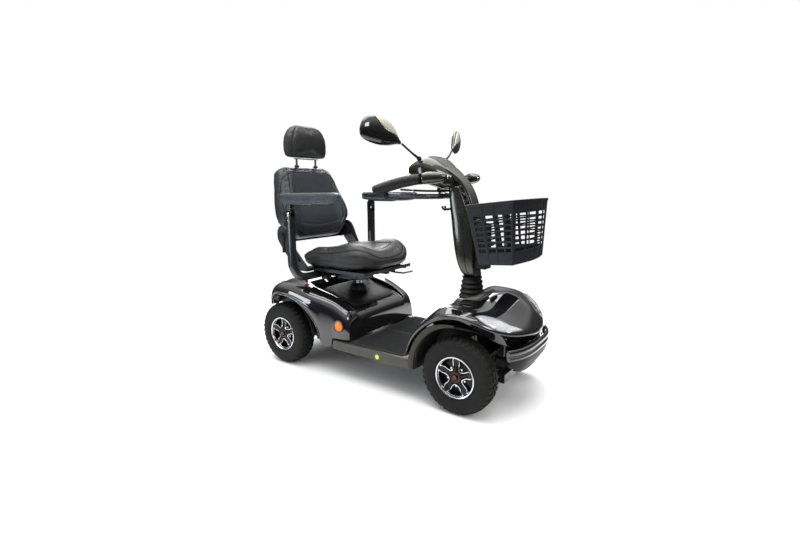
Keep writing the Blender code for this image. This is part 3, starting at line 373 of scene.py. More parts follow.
def lookup(table, y):
    """Smooth value at y from rows of (y, value), in rising order of y, with no overshoot."""
    if y <= table[0][0]:
        return table[0][1]
    if y >= table[-1][0]:
        return table[-1][1]
    for i in range(len(table) - 1):
        y0, v0 = table[i][0], table[i][1]
        y1, v1 = table[i + 1][0], table[i + 1][1]
        if y <= y1:
            break
    h = y1 - y0
    slope = (v1 - v0) / h

    def tangent(k):
        if k <= 0 or k >= len(table) - 1:
            return slope
        left = (table[k][1] - table[k - 1][1]) / (table[k][0] - table[k - 1][0])
        right = (table[k + 1][1] - table[k][1]) / (table[k + 1][0] - table[k][0])
        return 0.0 if left * right <= 0 else 2 * left * right / (left + right)

    t = (y - y0) / h
    a, b = tangent(i) * h, tangent(i + 1) * h
    return ((2 * t**3 - 3 * t**2 + 1) * v0 + (t**3 - 2 * t**2 + t) * a
            + (3 * t**2 - 2 * t**3) * v1 + (t**3 - t**2) * b)


def solidify(obj, thickness, offset=-1.0):
    """Gives a sheet its wall, before any subdivision."""
    mod = obj.modifiers.new("wall", "SOLIDIFY")
    mod.thickness = thickness
    mod.offset = offset
    mod.use_even_offset = False
    with bpy.context.temp_override(object=obj):
        bpy.ops.object.modifier_move_to_index(modifier=mod.name, index=0)
    return mod


def give(mat, *nodes):
    """Gives CAD nodes their finished material."""
    for name in nodes:
        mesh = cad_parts[name].data
        mesh.materials.clear()
        mesh.materials.append(M[mat])


# ------------------------------------------------- front cover and its lamps

# Height of the front cover along its middle, as (y, z)
CREST = [
    (-0.2525, 0.328), (-0.245, 0.348), (-0.235, 0.37), (-0.211, 0.418), (-0.18, 0.447),
    (-0.151, 0.467), (-0.11, 0.481), (-0.082, 0.485), (-0.04, 0.479), (0.0, 0.467),
    (0.04, 0.454), (0.08, 0.443), (0.12, 0.428), (0.15, 0.408), (0.183, 0.38),
    (0.212, 0.352), (0.236, 0.322), (0.252, 0.28), (0.26, 0.24), (0.262, 0.203),
]
# The front cover's edge as (x, y, z), from its rear corner to the nose, each with its hem below
OUTLINE = [
    ((0.286, 0.262, 0.203), (0.286, 0.262, 0.198)), ((0.286, 0.252, 0.235), (0.286, 0.252, 0.22)),
    ((0.288, 0.24, 0.268), (0.288, 0.241, 0.252)), ((0.291, 0.222, 0.301), (0.291, 0.222, 0.285)),
    ((0.294, 0.195, 0.333), (0.294, 0.195, 0.319)), ((0.297, 0.16, 0.364), (0.297, 0.16, 0.351)),
    ((0.299, 0.12, 0.391), (0.299, 0.12, 0.379)), ((0.3, 0.08, 0.41), (0.3, 0.08, 0.398)),
    ((0.3, 0.04, 0.419), (0.3, 0.04, 0.408)), ((0.3, 0.0, 0.421), (0.3, 0.0, 0.411)),
    ((0.298, -0.03, 0.417), (0.296, -0.028, 0.406)), ((0.291, -0.062, 0.406), (0.282, -0.052, 0.39)),
    ((0.279, -0.093, 0.392), (0.262, -0.08, 0.366)), ((0.262, -0.124, 0.378), (0.24, -0.108, 0.34)),
    ((0.238, -0.152, 0.364), (0.212, -0.132, 0.318)), ((0.208, -0.177, 0.353), (0.182, -0.154, 0.299)),
    ((0.172, -0.2, 0.344), (0.148, -0.176, 0.286)), ((0.13, -0.219, 0.337), (0.112, -0.195, 0.284)),
    ((0.087, -0.234, 0.332), (0.076, -0.213, 0.29)), ((0.044, -0.244, 0.329), (0.039, -0.229, 0.297)),
    ((0.0, -0.249, 0.328), (0.0, -0.236, 0.3)),
]
# Shares of the way out along each row of the front cover, and the hole that its stem comes through
HOOD_STATIONS = [0.0, 0.08, 0.16, 0.24, 0.33, 0.42, 0.51, 0.6, 0.68, 0.75, 0.81, 0.87, 0.92, 0.96,
                 0.985, 1.0]
STEM_HOLE = 0.028


def hood_height(x, y, t, rim):
    """Height of the front cover: a dome, a middle ridge and a wing ridge on each side."""
    crest = lookup(CREST, y)
    nose = lookup([(-0.25, 0.0), (-0.215, 0.5), (-0.16, 1.0), (-0.02, 1.0), (0.08, 0.0)], y)
    middle = nose * lookup([(-0.18, 0.058), (-0.06, 0.038), (0.0, 0.03)], y)
    power = lookup([(-0.25, 1.3), (-0.19, 1.45), (-0.14, 1.9), (-0.05, 2.8), (0.0, 3.4)], y)
    dome = rim + (crest - middle - rim) * math.sqrt(max(0.0, 1 - t**power))
    wing = lookup([(-0.13, 0.0), (-0.05, 0.006), (0.03, 0.015), (0.09, 0.016), (0.15, 0.004), (0.2, 0.0)], y)
    z = dome + middle * math.exp(-((x / 0.072) ** 2))
    return z + wing * math.exp(-(((abs(x) - 0.235) / 0.045) ** 2))


def hood_point(side, k, t):
    """A point of the front cover on row k, t of the way out to its outline."""
    k0 = min(int(k), len(OUTLINE) - 2)
    f = k - k0
    outer = Vector(OUTLINE[k0][0]).lerp(Vector(OUTLINE[k0 + 1][0]), f)
    x = outer.x * t
    return at(side * x, outer.y, hood_height(x, outer.y, t, outer.z))


def hood_out(side, k, t):
    """The outward direction there."""
    a = hood_point(side, k + 0.15, t) - hood_point(side, k - 0.15, t)
    b = hood_point(side, k, t + 0.01) - hood_point(side, k, t - 0.01)
    out = a.cross(b).normalized()
    return out if out.z > 0 or out.dot(Vector((side, -1, 0))) > 0 else -out


def build_hood():
    """The glossy front cover with its hem, and the stem's collar."""
    rows = []
    for k, (_, hem) in enumerate(OUTLINE):
        half = {}
        for side in (-1, 1):
            line = [hood_point(side, k, t) for t in HOOD_STATIONS]
            hem_point = at(side * hem[0], hem[1], hem[2])
            edge = line[-1]
            tuck = Vector((-side * 0.006, 0.002, -0.001))
            line += [edge.lerp(hem_point, 0.12), edge.lerp(hem_point, 0.9), hem_point, hem_point + tuck]
            half[side] = line
        rows.append(list(reversed(half[-1])) + half[1][1:])
    bm = bmesh.new()
    add_grid(bm, rows)
    bmesh.ops.remove_doubles(bm, verts=bm.verts, dist=1e-4)
    delete_near(bm, STEM_Y, STEM_HOLE)
    hood = new_object("front_hood_shell", bm, "gloss_black", "chassis", levels=2, replaces=["hood"])
    solidify(hood, 0.004)

    bm = bmesh.new()
    profile = [(0.58, -0.006), (0.6, 0.01), (0.7, 0.016), (0.84, 0.012), (0.95, 0.003),
               (1.0, -0.008), (0.97, -0.018), (0.8, -0.012)]
    rings = []
    for angle in turns(48):
        across, along = math.sin(angle), math.cos(angle)
        ring = []
        for share, lift in profile:
            x, y = across * 0.098 * share, 0.07 + along * 0.105 * share
            z = lookup(CREST, y) - 0.9 * x * x / 0.35
            ring.append(at(x, y, z + lift))
        rings.append(ring)
    add_loft(bm, rings, close=True)
    new_object("stem_collar_ring", bm, "trim", "chassis", levels=1)


def build_headlights():
    """An almond lens over a faceted reflector, in a grey bezel."""
    first, last = 11.2, 16.7  # the outline points between which the lamp lies
    for word, side in SIDES.items():
        def spot(u, v, lift):
            """A point over the cover: u runs along the lamp, v from its lower to its upper edge."""
            k = first + (last - first) * u
            open_to = max(0.0, math.sin(math.pi * u)) ** 0.75
            middle = 0.905 - 0.045 * u
            t = min(0.995, middle + v * (0.085 if v > 0 else 0.15) * open_to)
            return hood_point(side, k, t) + hood_out(side, k, t) * lift

        bm = bmesh.new()
        us = [0.5 - 0.5 * math.cos(math.pi * i / 24) for i in range(25)]
        rows = []
        for u in us:
            open_to = math.sin(math.pi * u)
            rows.append([spot(u, v, 0.0022 + 0.0065 * open_to * (1 - v * v)) for v in
                         (-1, -0.8, -0.5, -0.2, 0.2, 0.5, 0.8, 1)])
        add_grid(bm, rows)
        bmesh.ops.remove_doubles(bm, verts=bm.verts, dist=2e-4)
        lens = new_object(f"headlight_lens_{word}", bm, "lens", "chassis",
                          replaces=[f"headlight_{word}"])
        solidify(lens, 0.0012)

        bm = bmesh.new()
        rows = [[spot(u, v, 0.001) for v in (-1, -0.5, 0, 0.5, 1)] for u in us]
        add_grid(bm, rows)
        bmesh.ops.remove_doubles(bm, verts=bm.verts, dist=2e-4)
        for u, v, r in ((0.36, 0.05, 0.021), (0.66, 0.0, 0.018)):
            centre = spot(u, v, 0.0012)
            out = hood_out(side, first + (last - first) * u, 0.88)
            add_lathe(bm, [(0.0, r), (0.003, r * 0.98), (0.0022, r * 0.72), (0.0012, r * 0.3),
                           (0.003, r * 0.24),
                           (0.0044, r * 0.12), (0.0046, 0.0)], centre, out, 24)
        backing = new_object(f"headlight_reflector_{word}", bm, "reflector", "chassis")
        backing.data.set_sharp_from_angle(angle=math.radians(30))

        bm = bmesh.new()
        loop = [spot(u, -1, 0.002) for u in us] + [spot(u, 1, 0.002) for u in reversed(us[1:-1])]
        centre = sum(loop, Vector()) / len(loop)
        rings = []
        for point, along in along_loop(loop):
            outward = (point - centre).normalized()
            lift = along.cross(outward).normalized()
            rings.append([point + outward * a + lift * b for a, b in
                          ((0.0028, 0.0), (0.0018, 0.0022), (-0.0006, 0.0026), (-0.0018, 0.0),
                           (-0.0006, -0.0026), (0.0018, -0.0022))])
        add_loft(bm, rings, close=True)
        new_object(f"headlight_bezel_{word}", bm, "bezel", "chassis")


BUMPER_REACH = 0.2575
BUMPER_HALF = 0.222


def bumper_y(x, power=2.7):
    """Where the bumper's face lies at x, on a squared-off arc."""
    return -BUMPER_REACH * (1 - (abs(x) / 0.292) ** power) ** (1 / power)


def build_front_bumper():
    """A glossy upper bar with a slot line, a black skirt below it, and its stays and bolts."""
    xs = [BUMPER_HALF * math.sin(math.pi / 2 * (2 * i / 28 - 1)) for i in range(29)]
    bm = bmesh.new()
    rings = []
    for x in xs:
        y = bumper_y(x)
        drop = 0.006 * (abs(x) / BUMPER_HALF)
        section = [(0.02, 0.3), (0.009, 0.304), (0.002, 0.299), (0.0, 0.288), (0.001, 0.279),
                   (0.008, 0.2765), (0.008, 0.271), (0.001, 0.269), (0.0006, 0.262), (0.003, 0.253),
                   (0.012, 0.25), (0.02, 0.262)]
        rings.append([at(x, y + dy, z - drop) for dy, z in section])
    add_loft(bm, rings)
    new_object("front_bumper_bar", bm, "gloss_black", "chassis", levels=1, replaces=["front_bumper"])

    bm = bmesh.new()
    rings = []
    falls = [(0.0, 1.0), (0.04, 0.86), (0.11, 0.66), (0.24, 0.42), (0.42, 0.21), (0.66, 0.07), (1.0, 0.0)]
    for x in [v * 0.985 for v in xs]:
        y = bumper_y(x)
        low = lookup([(0.0, 0.148), (0.06, 0.15), (0.1, 0.162), (0.14, 0.186), (0.2, 0.214),
                      (0.225, 0.23)], abs(x))
        reach = lookup([(0.0, 0.1), (0.08, 0.092), (0.14, 0.034), (0.225, 0.01)], abs(x))
        section = [(0.002 + reach * t, low + (0.256 - low) * h) for t, h in falls]
        section += [(dy + 0.006, z + 0.006) for dy, z in reversed(section)]
        rings.append([at(x, y + dy, z) for dy, z in section])
    add_loft(bm, rings)
    new_object("front_bumper_skirt", bm, "lip", "chassis", levels=1)

    bm = bmesh.new()
    for side in SIDES.values():
        add_tube(bm, [at(side * 0.094, -0.152, 0.196), at(side * 0.108, -0.172, 0.204),
                      at(side * 0.12, -0.19, 0.212)], 0.0042, 12)
        add_bolt(bm, at(side * 0.178, -0.196, 0.262), (side * 0.6, -0.8, 0), 0.0055)
    new_object("bumper_stays", bm, "chrome", "chassis")


# --------------------------------------------------------------- floor pan


def build_floor():
    """The floor tub with rolled sills, the front wheel-arch bands, and the ribbed mat."""
    bm = bmesh.new()
    plan = [(0.214, 0.301), (0.3, 0.303), (0.56, 0.303), (0.688, 0.301)]
    sections = []
    for y in (0.207, 0.212, 0.23, 0.3, 0.4, 0.5, 0.6, 0.67, 0.69, 0.694):
        inset = 0.006 if y in (0.207, 0.694) else 0.0
        half = lookup(plan, y) - inset
        half = half if y > 0.225 else half - (0.225 - y) * 0.25
        right = [(half - 0.02, 0.143), (half - 0.004, 0.145), (half, 0.152), (half, 0.166),
                 (half + 0.0015, 0.182),
                 (half - 0.001, 0.1895), (half - 0.007, 0.1925), (half - 0.016, 0.1915),
                 (half - 0.019, 0.1885)]
        sections.append([at(x, y, z) for x, z in right] + [at(0, y, 0.1885)]
                        + [at(-x, y, z) for x, z in reversed(right)] + [at(0, y, 0.143)])
    add_loft(bm, sections)
    new_object("floor_tub", bm, "trim", "chassis", levels=2, replaces=["floor_pan"])

    hem_half = [(hem[1], hem[0]) for _, hem in reversed(OUTLINE)]
    for word, side in SIDES.items():
        bm = bmesh.new()
        rings = []
        inner, base = 0.2075, side * 0.2865
        for i in range(41):
            angle = math.radians(-4 + 92 * i / 40)
            c, s = math.cos(angle), math.sin(angle)
            outer = inner + 0.03 * min(1.0, 0.35 + 1.6 * (1 - i / 40))
            ring = []
            for r, x in ((inner, base), (inner, side * 0.3005), (inner + 0.003, side * 0.3045),
                         (inner + 0.012, side * 0.305),
                         (outer - 0.01, side * 0.305), (outer - 0.003, side * 0.303),
                         (outer, side * 0.299), (outer, base)):
                ring.append(at(x, r * c, WHEEL_R + r * s))
            rings.append(ring)
        add_loft(bm, rings)
        new_object(f"arch_band_{word}", bm, "band", "chassis", levels=1)

        bm = bmesh.new()
        rows = []
        r = 0.209
        for i in range(25):
            angle = math.radians(-4 + 140 * i / 24)
            y = r * math.cos(angle)
            edge = min(0.298, lookup(hem_half, y) - 0.004)
            rows.append([at(side * (0.13 + (edge - 0.13) * k / 4), y, WHEEL_R + r * math.sin(angle))
                         for k in range(5)])
        add_grid(bm, rows)
        hub = bm.verts.new(at(side * 0.13, 0.0, 0.3))
        inner = [bm.verts.new(row[0]) for row in rows]
        for a, b in zip(inner, inner[1:]):
            bm.faces.new((hub, a, b))
        bmesh.ops.remove_doubles(bm, verts=bm.verts, dist=1e-4)
        liner = new_object(f"front_arch_liner_{word}", bm, "matte", "chassis")
        solidify(liner, 0.002, 0.0)

    bm = bmesh.new()
    low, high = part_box("floor_mat")
    top = high.z - 0.0022
    rings = []
    for z, inset in ((low.z, 0.0), (top - 0.001, 0.0), (top, 0.0012), (top, 0.008), (top - 0.0014, 0.0095)):
        ring = rounded_rectangle(low.x + inset, low.y + inset, high.x - inset, high.y - inset,
                                 max(0.004, 0.03 - inset), 6)
        rings.append([Vector((x, y, z)) for x, y in ring])
    add_loft(bm, rings)
    ribs = 34
    for side in (-1, 1):
        for i in range(ribs):
            y = low.y + 0.02 + (high.y - low.y - 0.04) * (i + 0.5) / ribs
            a, b = side * 0.014, side * (high.x - 0.016)
            add_box(bm, (min(a, b), y - 0.0016, top - 0.002), (max(a, b), y + 0.0016, top + 0.0004))
    new_object("floor_mat_ribbed", bm, "mat", "chassis", replaces=["floor_mat"], angle=30)


def rounded_rectangle(x0, y0, x1, y1, radius, steps):
    """Corner-rounded rectangle as (x, y) pairs."""
    points = []
    corners = ((x1 - radius, y1 - radius, 0), (x0 + radius, y1 - radius, 90),
               (x0 + radius, y0 + radius, 180), (x1 - radius, y0 + radius, 270))
    for cx, cy, start in corners:
        for i in range(steps + 1):
            angle = math.radians(start + 90 * i / steps)
            points.append((cx + radius * math.cos(angle), cy + radius * math.sin(angle)))
    return points


# ------------------------------------------------------------------- wheels


TREAD_PITCH = 36
SPOKES = 5


def wheel_dish(radius):
    """How far the rim's face sinks between its hub and its edge."""
    return -0.007 * math.sin(math.pi * min(1.0, max(0.0, (radius - 0.028) / 0.055)))


def build_wheel(end, word, side, x, y):
    """A treaded tyre and a black alloy wheel with machined spoke edges."""
    body = f"{end}_wheel_{word}"
    centre = at(side * x, y, WHEEL_R)
    axis = Vector((side, 0, 0))
    bm = bmesh.new()
    half = [(0.04, 0.0902), (0.044, 0.0935), (0.0445, 0.0985), (0.0475, 0.102), (0.0472, 0.1045),
            (0.049, 0.1085), (0.05, 0.12), (0.05, 0.132), (0.048, 0.1425), (0.043, 0.152),
            (0.034, 0.1575), (0.018, 0.1598)]
    profile = half + [(0.0, 0.1603)] + [(-a, r) for a, r in reversed(half)]
    add_lathe(bm, profile, centre, axis, 72, close=True)
    side_dir, up_dir = frame_along(axis)

    def spot(across, radius, angle):
        around = side_dir * (radius * math.cos(angle)) + up_dir * (radius * math.sin(angle))
        return centre + axis * across + around

    def add_block(corners, low, high):
        """corners: (across, angle) in order; low and high give the radius at an across distance."""
        rings = []
        for reach, shrink in ((low, 1.0), (high, 0.86)):
            mid_a = sum(a for a, _ in corners) / len(corners)
            mid_g = sum(g for _, g in corners) / len(corners)
            ring = []
            for across, angle in corners:
                a = mid_a + (across - mid_a) * shrink
                g = mid_g + (angle - mid_g) * shrink
                ring.append(spot(a, reach(a), g))
            rings.append(ring)
        add_loft(bm, rings)

    def carcass(a):
        return lookup([(0.0, 0.158), (0.02, 0.157), (0.034, 0.1545), (0.044, 0.147), (0.0505, 0.134)],
                      abs(a))

    def crown(a):
        return lookup([(0.0, 0.165), (0.02, 0.1646), (0.034, 0.1618), (0.044, 0.154),
                       (0.0505, 0.14)], abs(a))

    step = 2 * math.pi / TREAD_PITCH
    for i in range(TREAD_PITCH):
        g = i * step
        for hand in (-1, 1):
            shift = 0.0 if hand > 0 else 0.5 * step
            skew = 0.22 * step
            inner = [(hand * 0.002, g + shift), (hand * 0.0165, g + shift + skew),
                     (hand * 0.0165, g + shift + skew + 0.7 * step), (hand * 0.002, g + shift + 0.7 * step)]
            add_block(inner, carcass, crown)
            outer = [(hand * 0.0205, g + shift + 0.05 * step), (hand * 0.036, g + shift - 0.02 * step),
                     (hand * 0.0455, g + shift - 0.02 * step), (hand * 0.0455, g + shift + 0.5 * step),
                     (hand * 0.036, g + shift + 0.56 * step), (hand * 0.0205, g + shift + 0.64 * step)]
            add_block(outer, carcass, crown)
    new_object(f"{end}_tyre_treaded_{word}", bm, "tyre", body, replaces=[f"{end}_tyre_{word}"], angle=35)

    bm = bmesh.new()
    barrel = [(-0.044, 0.0885), (-0.044, 0.0895), (0.0425, 0.0895), (0.0445, 0.088), (0.0435, 0.085),
              (0.03, 0.082), (0.012, 0.079), (-0.028, 0.078), (-0.042, 0.084)]
    add_lathe(bm, barrel, centre, axis, 56, mat=0, close=True)
    ring = [(0.036, 0.0902), (0.045, 0.09), (0.0466, 0.088), (0.045, 0.0838), (0.04, 0.0815),
            (0.034, 0.082)]
    add_lathe(bm, ring, centre, axis, 64, mat=1, close=True)
    hub = [(-0.046, 0.026), (0.02, 0.028), (0.0325, 0.027), (0.0345, 0.025), (0.0345, 0.0)]
    add_lathe(bm, [(-0.046, 0.0)] + hub, centre, axis, 40, mat=0)
    back = [(0.004, 0.079), (0.012, 0.079), (0.017, 0.05), (0.02, 0.028), (0.01, 0.028), (0.008, 0.05)]
    add_lathe(bm, back, centre, axis, 48, mat=0, close=True)

    def window(angle, share):
        """The rounded outline of one window, from its hub end round to its rim end."""
        half = [(0.0325, 0.0), (0.0345, 0.16), (0.042, 0.3), (0.052, 0.365), (0.062, 0.375),
                (0.071, 0.425), (0.0785, 0.485), (0.0815, 0.4), (0.082, 0.2)]
        outline = half + [(0.082, 0.0)] + [(r, -g) for r, g in reversed(half[1:])]
        points = curve([(r * math.cos(g), r * math.sin(g), 0) for r, g in outline], 3, True)
        core = Vector((0.06, 0, 0))
        ring = []
        for p in points:
            q = core + (p - core) * share
            radius, turn = math.hypot(q.x, q.y), math.atan2(q.y, q.x)
            ring.append((radius, angle + turn, wheel_dish(radius)))
        return ring

    for i in range(SPOKES):
        angle = math.pi / 2 + 2 * math.pi * i / SPOKES
        outer, inner = window(angle, 1.11), window(angle, 0.94)
        rings = []
        for depth, loop in ((0.0335, outer), (0.0362, outer), (0.0366, inner), (0.035, inner),
                            (0.018, inner)):
            rings.append([spot(depth + dish, r, g) for r, g, dish in loop])
        add_loft(bm, rings[:4], mat=1, caps=False)
        add_loft(bm, rings[3:], mat=0, caps=False)
        spoke_angle = angle + math.pi / SPOKES
        rows = []
        for r, w in ((0.024, 0.006), (0.034, 0.0052), (0.044, 0.0056), (0.054, 0.0082),
                     (0.064, 0.0125), (0.074, 0.0185), (0.0835, 0.0255)):
            dish = wheel_dish(r)
            direction = side_dir * math.cos(spoke_angle) + up_dir * math.sin(spoke_angle)
            across = -side_dir * math.sin(spoke_angle) + up_dir * math.cos(spoke_angle)
            rows.append([centre + direction * r + across * (w * v) + axis * (0.0338 + dish + d) for v, d in
                         ((-1, -0.012), (-1, 0.0), (-0.5, 0.0006), (0.5, 0.0006), (1, 0.0), (1, -0.012))])
        add_loft(bm, rows, mat=0)
        spot_at = spot(0.0215, 0.0405, angle)
        add_lathe(bm, [(-0.004, 0.0058), (0.004, 0.0058), (0.0062, 0.004), (0.0068, 0.0)], spot_at,
                  axis, 12, mat=1)
    add_lathe(bm, [(0.03, 0.0215), (0.037, 0.0215), (0.0385, 0.02), (0.0385, 0.017),
                   (0.037, 0.0165)], centre, axis, 32,
              mat=2, close=True)
    add_lathe(bm, [(0.034, 0.012), (0.0432, 0.012), (0.0455, 0.0098), (0.0455, 0.0)], centre, axis,
              6, mat=2)
    add_tube(bm, [spot(0.036, 0.07, 0.6), spot(0.041, 0.07, 0.6), spot(0.047, 0.0705, 0.6)],
             [0.0032, 0.0028, 0.0022], 10,
             mat=0)
    new_object(f"{end}_rim_alloy_{word}", bm, ["rim_black", "rim_silver", "bronze"], body, angle=30,
               replaces=[f"{end}_rim_{word}"], bevel=0.0005, segments=1)


def build_wheels():
    """All four wheels, with their places read from the CAD."""
    for word, side in SIDES.items():
        for end in ("front", "rear"):
            low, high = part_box(f"{end}_tyre_{word}")
            middle = (low + high) / 2
            build_wheel(end, word, side, abs(middle.x), middle.y - AXLE_Y)


# ---------------------------------------------------------------- rear body

# Along the rear body, as (y, value): the fenders' height, the half width and the height between them
RIDGE = [
    (0.598, 0.3), (0.612, 0.33), (0.634, 0.348), (0.68, 0.372), (0.719, 0.388), (0.77, 0.402),
    (0.837, 0.416), (0.89, 0.427), (0.94, 0.438), (0.985, 0.445), (1.03, 0.446), (1.08, 0.44),
    (1.13, 0.422), (1.17, 0.393), (1.198, 0.35), (1.208, 0.322),
]
HALF_WIDTH = [
    (0.598, 0.268), (0.612, 0.284), (0.64, 0.291), (0.686, 0.293), (0.75, 0.306), (0.85, 0.318),
    (1.05, 0.3225), (1.12, 0.312), (1.17, 0.28), (1.198, 0.235), (1.208, 0.205),
]
WELL = [
    (0.598, 0.292), (0.62, 0.322), (0.66, 0.344), (0.72, 0.361), (0.8, 0.382), (0.86, 0.398),
    (0.89, 0.408), (0.93, 0.428), (0.97, 0.447), (1.02, 0.452), (1.08, 0.446), (1.13, 0.427),
    (1.17, 0.397), (1.198, 0.352), (1.208, 0.322),
]
ARCH_REACH = 0.275
ARCH_RISE = 0.22
ARCH_LINER = 0.2055
POST_HOLE = 0.03
REFLECTOR = (0.652, 0.268)


def rear_hem(y):
    """Height of the rear body's lower edge, over the wheel and beside the deck."""
    if y < 0.7:
        return 0.1975
    if y <= WHEELBASE - ARCH_REACH:
        return 0.15
    reach = (y - WHEELBASE) / ARCH_REACH
    arch = WHEEL_R + ARCH_RISE * math.sqrt(max(0.0, 1 - reach * reach))
    drop = min(1.0, max(0.0, (y - 1.09) / 0.06))
    return max(0.15, arch * (1 - drop) + drop * lookup([(1.09, 0.34), (1.15, 0.306), (1.208, 0.286)], y))


def rear_row(y, floor=None):
    """One cross-section of the rear body from its right hem to its left one."""
    half, ridge, well, hem = lookup(HALF_WIDTH, y), lookup(RIDGE, y), lookup(WELL, y), rear_hem(y)
    top = ridge - 0.052
    right = [(half - 0.016, hem + 0.002), (half - 0.003, hem - 0.001), (half + 0.0005, hem + 0.004),
             (half, hem + 0.012)]
    for i in range(1, 5):
        share = i / 4
        bulge = 0.003 * math.sin(math.pi * share)
        right.append((half + bulge - 0.004 * share, hem + 0.012 + (top - hem - 0.012) * share))
    for angle in (22, 44, 66, 88):
        a = math.radians(angle)
        right.append((half - 0.004 - 0.052 * (1 - math.cos(a)), top + 0.05 * math.sin(a)))
    inner = min(0.214, half - 0.068)
    right += [(inner + 0.004, ridge + 0.0005), (inner - 0.006, ridge - 0.2 * (ridge - well)),
              (inner - 0.014, ridge - 0.75 * (ridge - well)), (inner - 0.022, well), (inner - 0.036, well)]
    right += [(0.12, well + 0.001), (0.06, well + 0.002)]
    points = [(-x, z) for x, z in right] + [(0.0, well + 0.0022)] + [(x, z) for x, z in reversed(right)]
    if floor is not None:
        points = [(x, min(z, floor)) for x, z in points]
    return [at(x, y, z) for x, z in points]


def build_rear_body():
    """The rear body, its well lid, shut lines, arches, reflectors, lamps, bumper and lever."""
    arch = [WHEELBASE - ARCH_REACH * math.cos(math.radians(a)) for a in (1.5, 6, 12, 19, 27, 36, 46,
                                                                         57, 68, 80, 92)]
    ys = [0.604, 0.612, 0.626, 0.648, 0.672, 0.692, 0.698, 0.703, 0.722, 0.745, 0.762] + arch
    ys += [1.075, 1.095, 1.115, 1.135, 1.155, 1.175, 1.19, 1.2, 1.206]
    rows = [rear_row(y) for y in sorted(ys)]
    front = [rear_row(0.604, z) for z in (0.2, 0.24, 0.28)]
    for row, y in zip(front, (0.5985, 0.5985, 0.5995)):
        for p in row:
            p.y = AXLE_Y + y
    tail = [rear_row(1.208, z) for z in (0.31, 0.292)]
    for row in tail:
        for p in row:
            p.y = AXLE_Y + 1.2095
    bm = bmesh.new()
    add_grid(bm, front + rows + tail)
    bmesh.ops.remove_doubles(bm, verts=bm.verts, dist=1e-5)
    delete_near(bm, SEAT_Y, POST_HOLE)
    shell = new_object("rear_body_shell", bm, "gloss_black", "chassis", levels=2, replaces=["rear_cover"])
    solidify(shell, 0.003)

    bm = bmesh.new()
    rings = []
    for y in [0.64 + 0.02 * i for i in range(13)]:
        z = lookup(WELL, y)
        w = 0.172 - 0.01 * max(0.0, (abs(y - 0.76) - 0.09) / 0.03) ** 2
        rings.append([at(x, y, z + h) for x, h in
                      ((-w, 0.0), (-w, 0.006), (-w + 0.006, 0.009), (-0.06, 0.0095), (0.06, 0.0095),
                       (w - 0.006, 0.009), (w, 0.006), (w, 0.0))])
    add_loft(bm, rings)
    new_object("seat_well_lid", bm, "matte", "chassis", levels=1, replaces=["seat_well_panel"])

    bm = bmesh.new()
    base = lookup(WELL, SEAT_Y) + 0.006
    profile = [(0.0, 0.06), (0.004, 0.059), (0.006, 0.05), (0.01, 0.046), (0.014, 0.047), (0.018, 0.043),
               (0.022, 0.044), (0.026, 0.04), (0.03, 0.041), (0.034, 0.036), (0.038, 0.032),
               (0.04, 0.0285), (0.034, 0.0285), (0.0, 0.0285)]
    add_lathe(bm, profile, at(0, SEAT_Y, base), (0, 0, 1), 40, close=True)
    new_object("post_boot_ribbed", bm, "matte", "chassis", levels=1)

    bm = bmesh.new()
    for side in SIDES.values():
        line = [at(side * 0.176, y, lookup(WELL, y) + 0.0075) for y in (0.645, 0.68, 0.72, 0.76, 0.8,
                                                                        0.84, 0.872)]
        add_tube(bm, line, 0.0022, 8)
        shut = [at(side * 0.262, y, lookup(RIDGE, y) + 0.0006) for y in (0.86, 0.9, 0.94, 0.98, 1.02,
                                                                         1.06, 1.1)]
        add_tube(bm, shut, 0.0011, 6)
    new_object("rear_shut_lines", bm, "matte", "chassis")

    for word, side in SIDES.items():
        bm = bmesh.new()
        rows = []
        for i in range(27):
            angle = math.radians(6 + 132 * i / 26)
            y = WHEELBASE - ARCH_LINER * math.cos(angle)
            edge = min(0.292, lookup(HALF_WIDTH, y) - 0.012)
            rows.append([at(side * (0.205 + (edge - 0.205) * k / 3), y,
                            WHEEL_R + ARCH_LINER * math.sin(angle))
                         for k in range(4)])
        verts = add_grid(bm, rows)
        hub = bm.verts.new(at(side * 0.205, WHEELBASE, 0.3))
        for a, b in zip(verts, verts[1:]):
            bm.faces.new((hub, a[0], b[0]))
        liner = new_object(f"rear_arch_liner_{word}", bm, "matte", "chassis")
        solidify(liner, 0.002, 0.0)

        bm = bmesh.new()
        rings = []
        for i in range(33):
            angle = math.radians(4 + 98 * i / 32)
            y = WHEELBASE - ARCH_REACH * math.cos(angle)
            half, z = lookup(HALF_WIDTH, y), WHEEL_R + ARCH_RISE * math.sin(angle)
            out = Vector((0, -math.cos(angle), math.sin(angle)))
            foot = at(side * half, y, z)
            out_x = Vector((side, 0, 0))
            rings.append([foot + out_x * a + out * b for a, b in
                          ((-0.004, -0.002), (0.0012, -0.0032), (0.0032, 0.0), (0.003, 0.003),
                           (0.001, 0.0052), (-0.004, 0.004))])
        add_loft(bm, rings)
        new_object(f"rear_arch_lip_{word}", bm, "gloss_black", "chassis", levels=1)

        disc = at(side * lookup(HALF_WIDTH, REFLECTOR[0]), *REFLECTOR)
        bm = bmesh.new()
        profile = [(0.0006, 0.0), (0.0006, 0.0265), (0.0036, 0.0268), (0.0056, 0.025),
                   (0.007, 0.018), (0.0076, 0.0)]
        add_lathe(bm, profile, disc, (side, 0, 0), 40)
        new_object(f"side_reflector_disc_{word}", bm, "orange", "chassis",
                   replaces=[f"side_reflector_{word}"])
        bm = bmesh.new()
        profile = [(0.0, 0.0262), (0.0, 0.0305), (0.005, 0.03), (0.0066, 0.028), (0.005, 0.0262)]
        add_lathe(bm, profile, disc, (side, 0, 0), 40, close=True)
        new_object(f"side_reflector_ring_{word}", bm, "trim", "chassis")

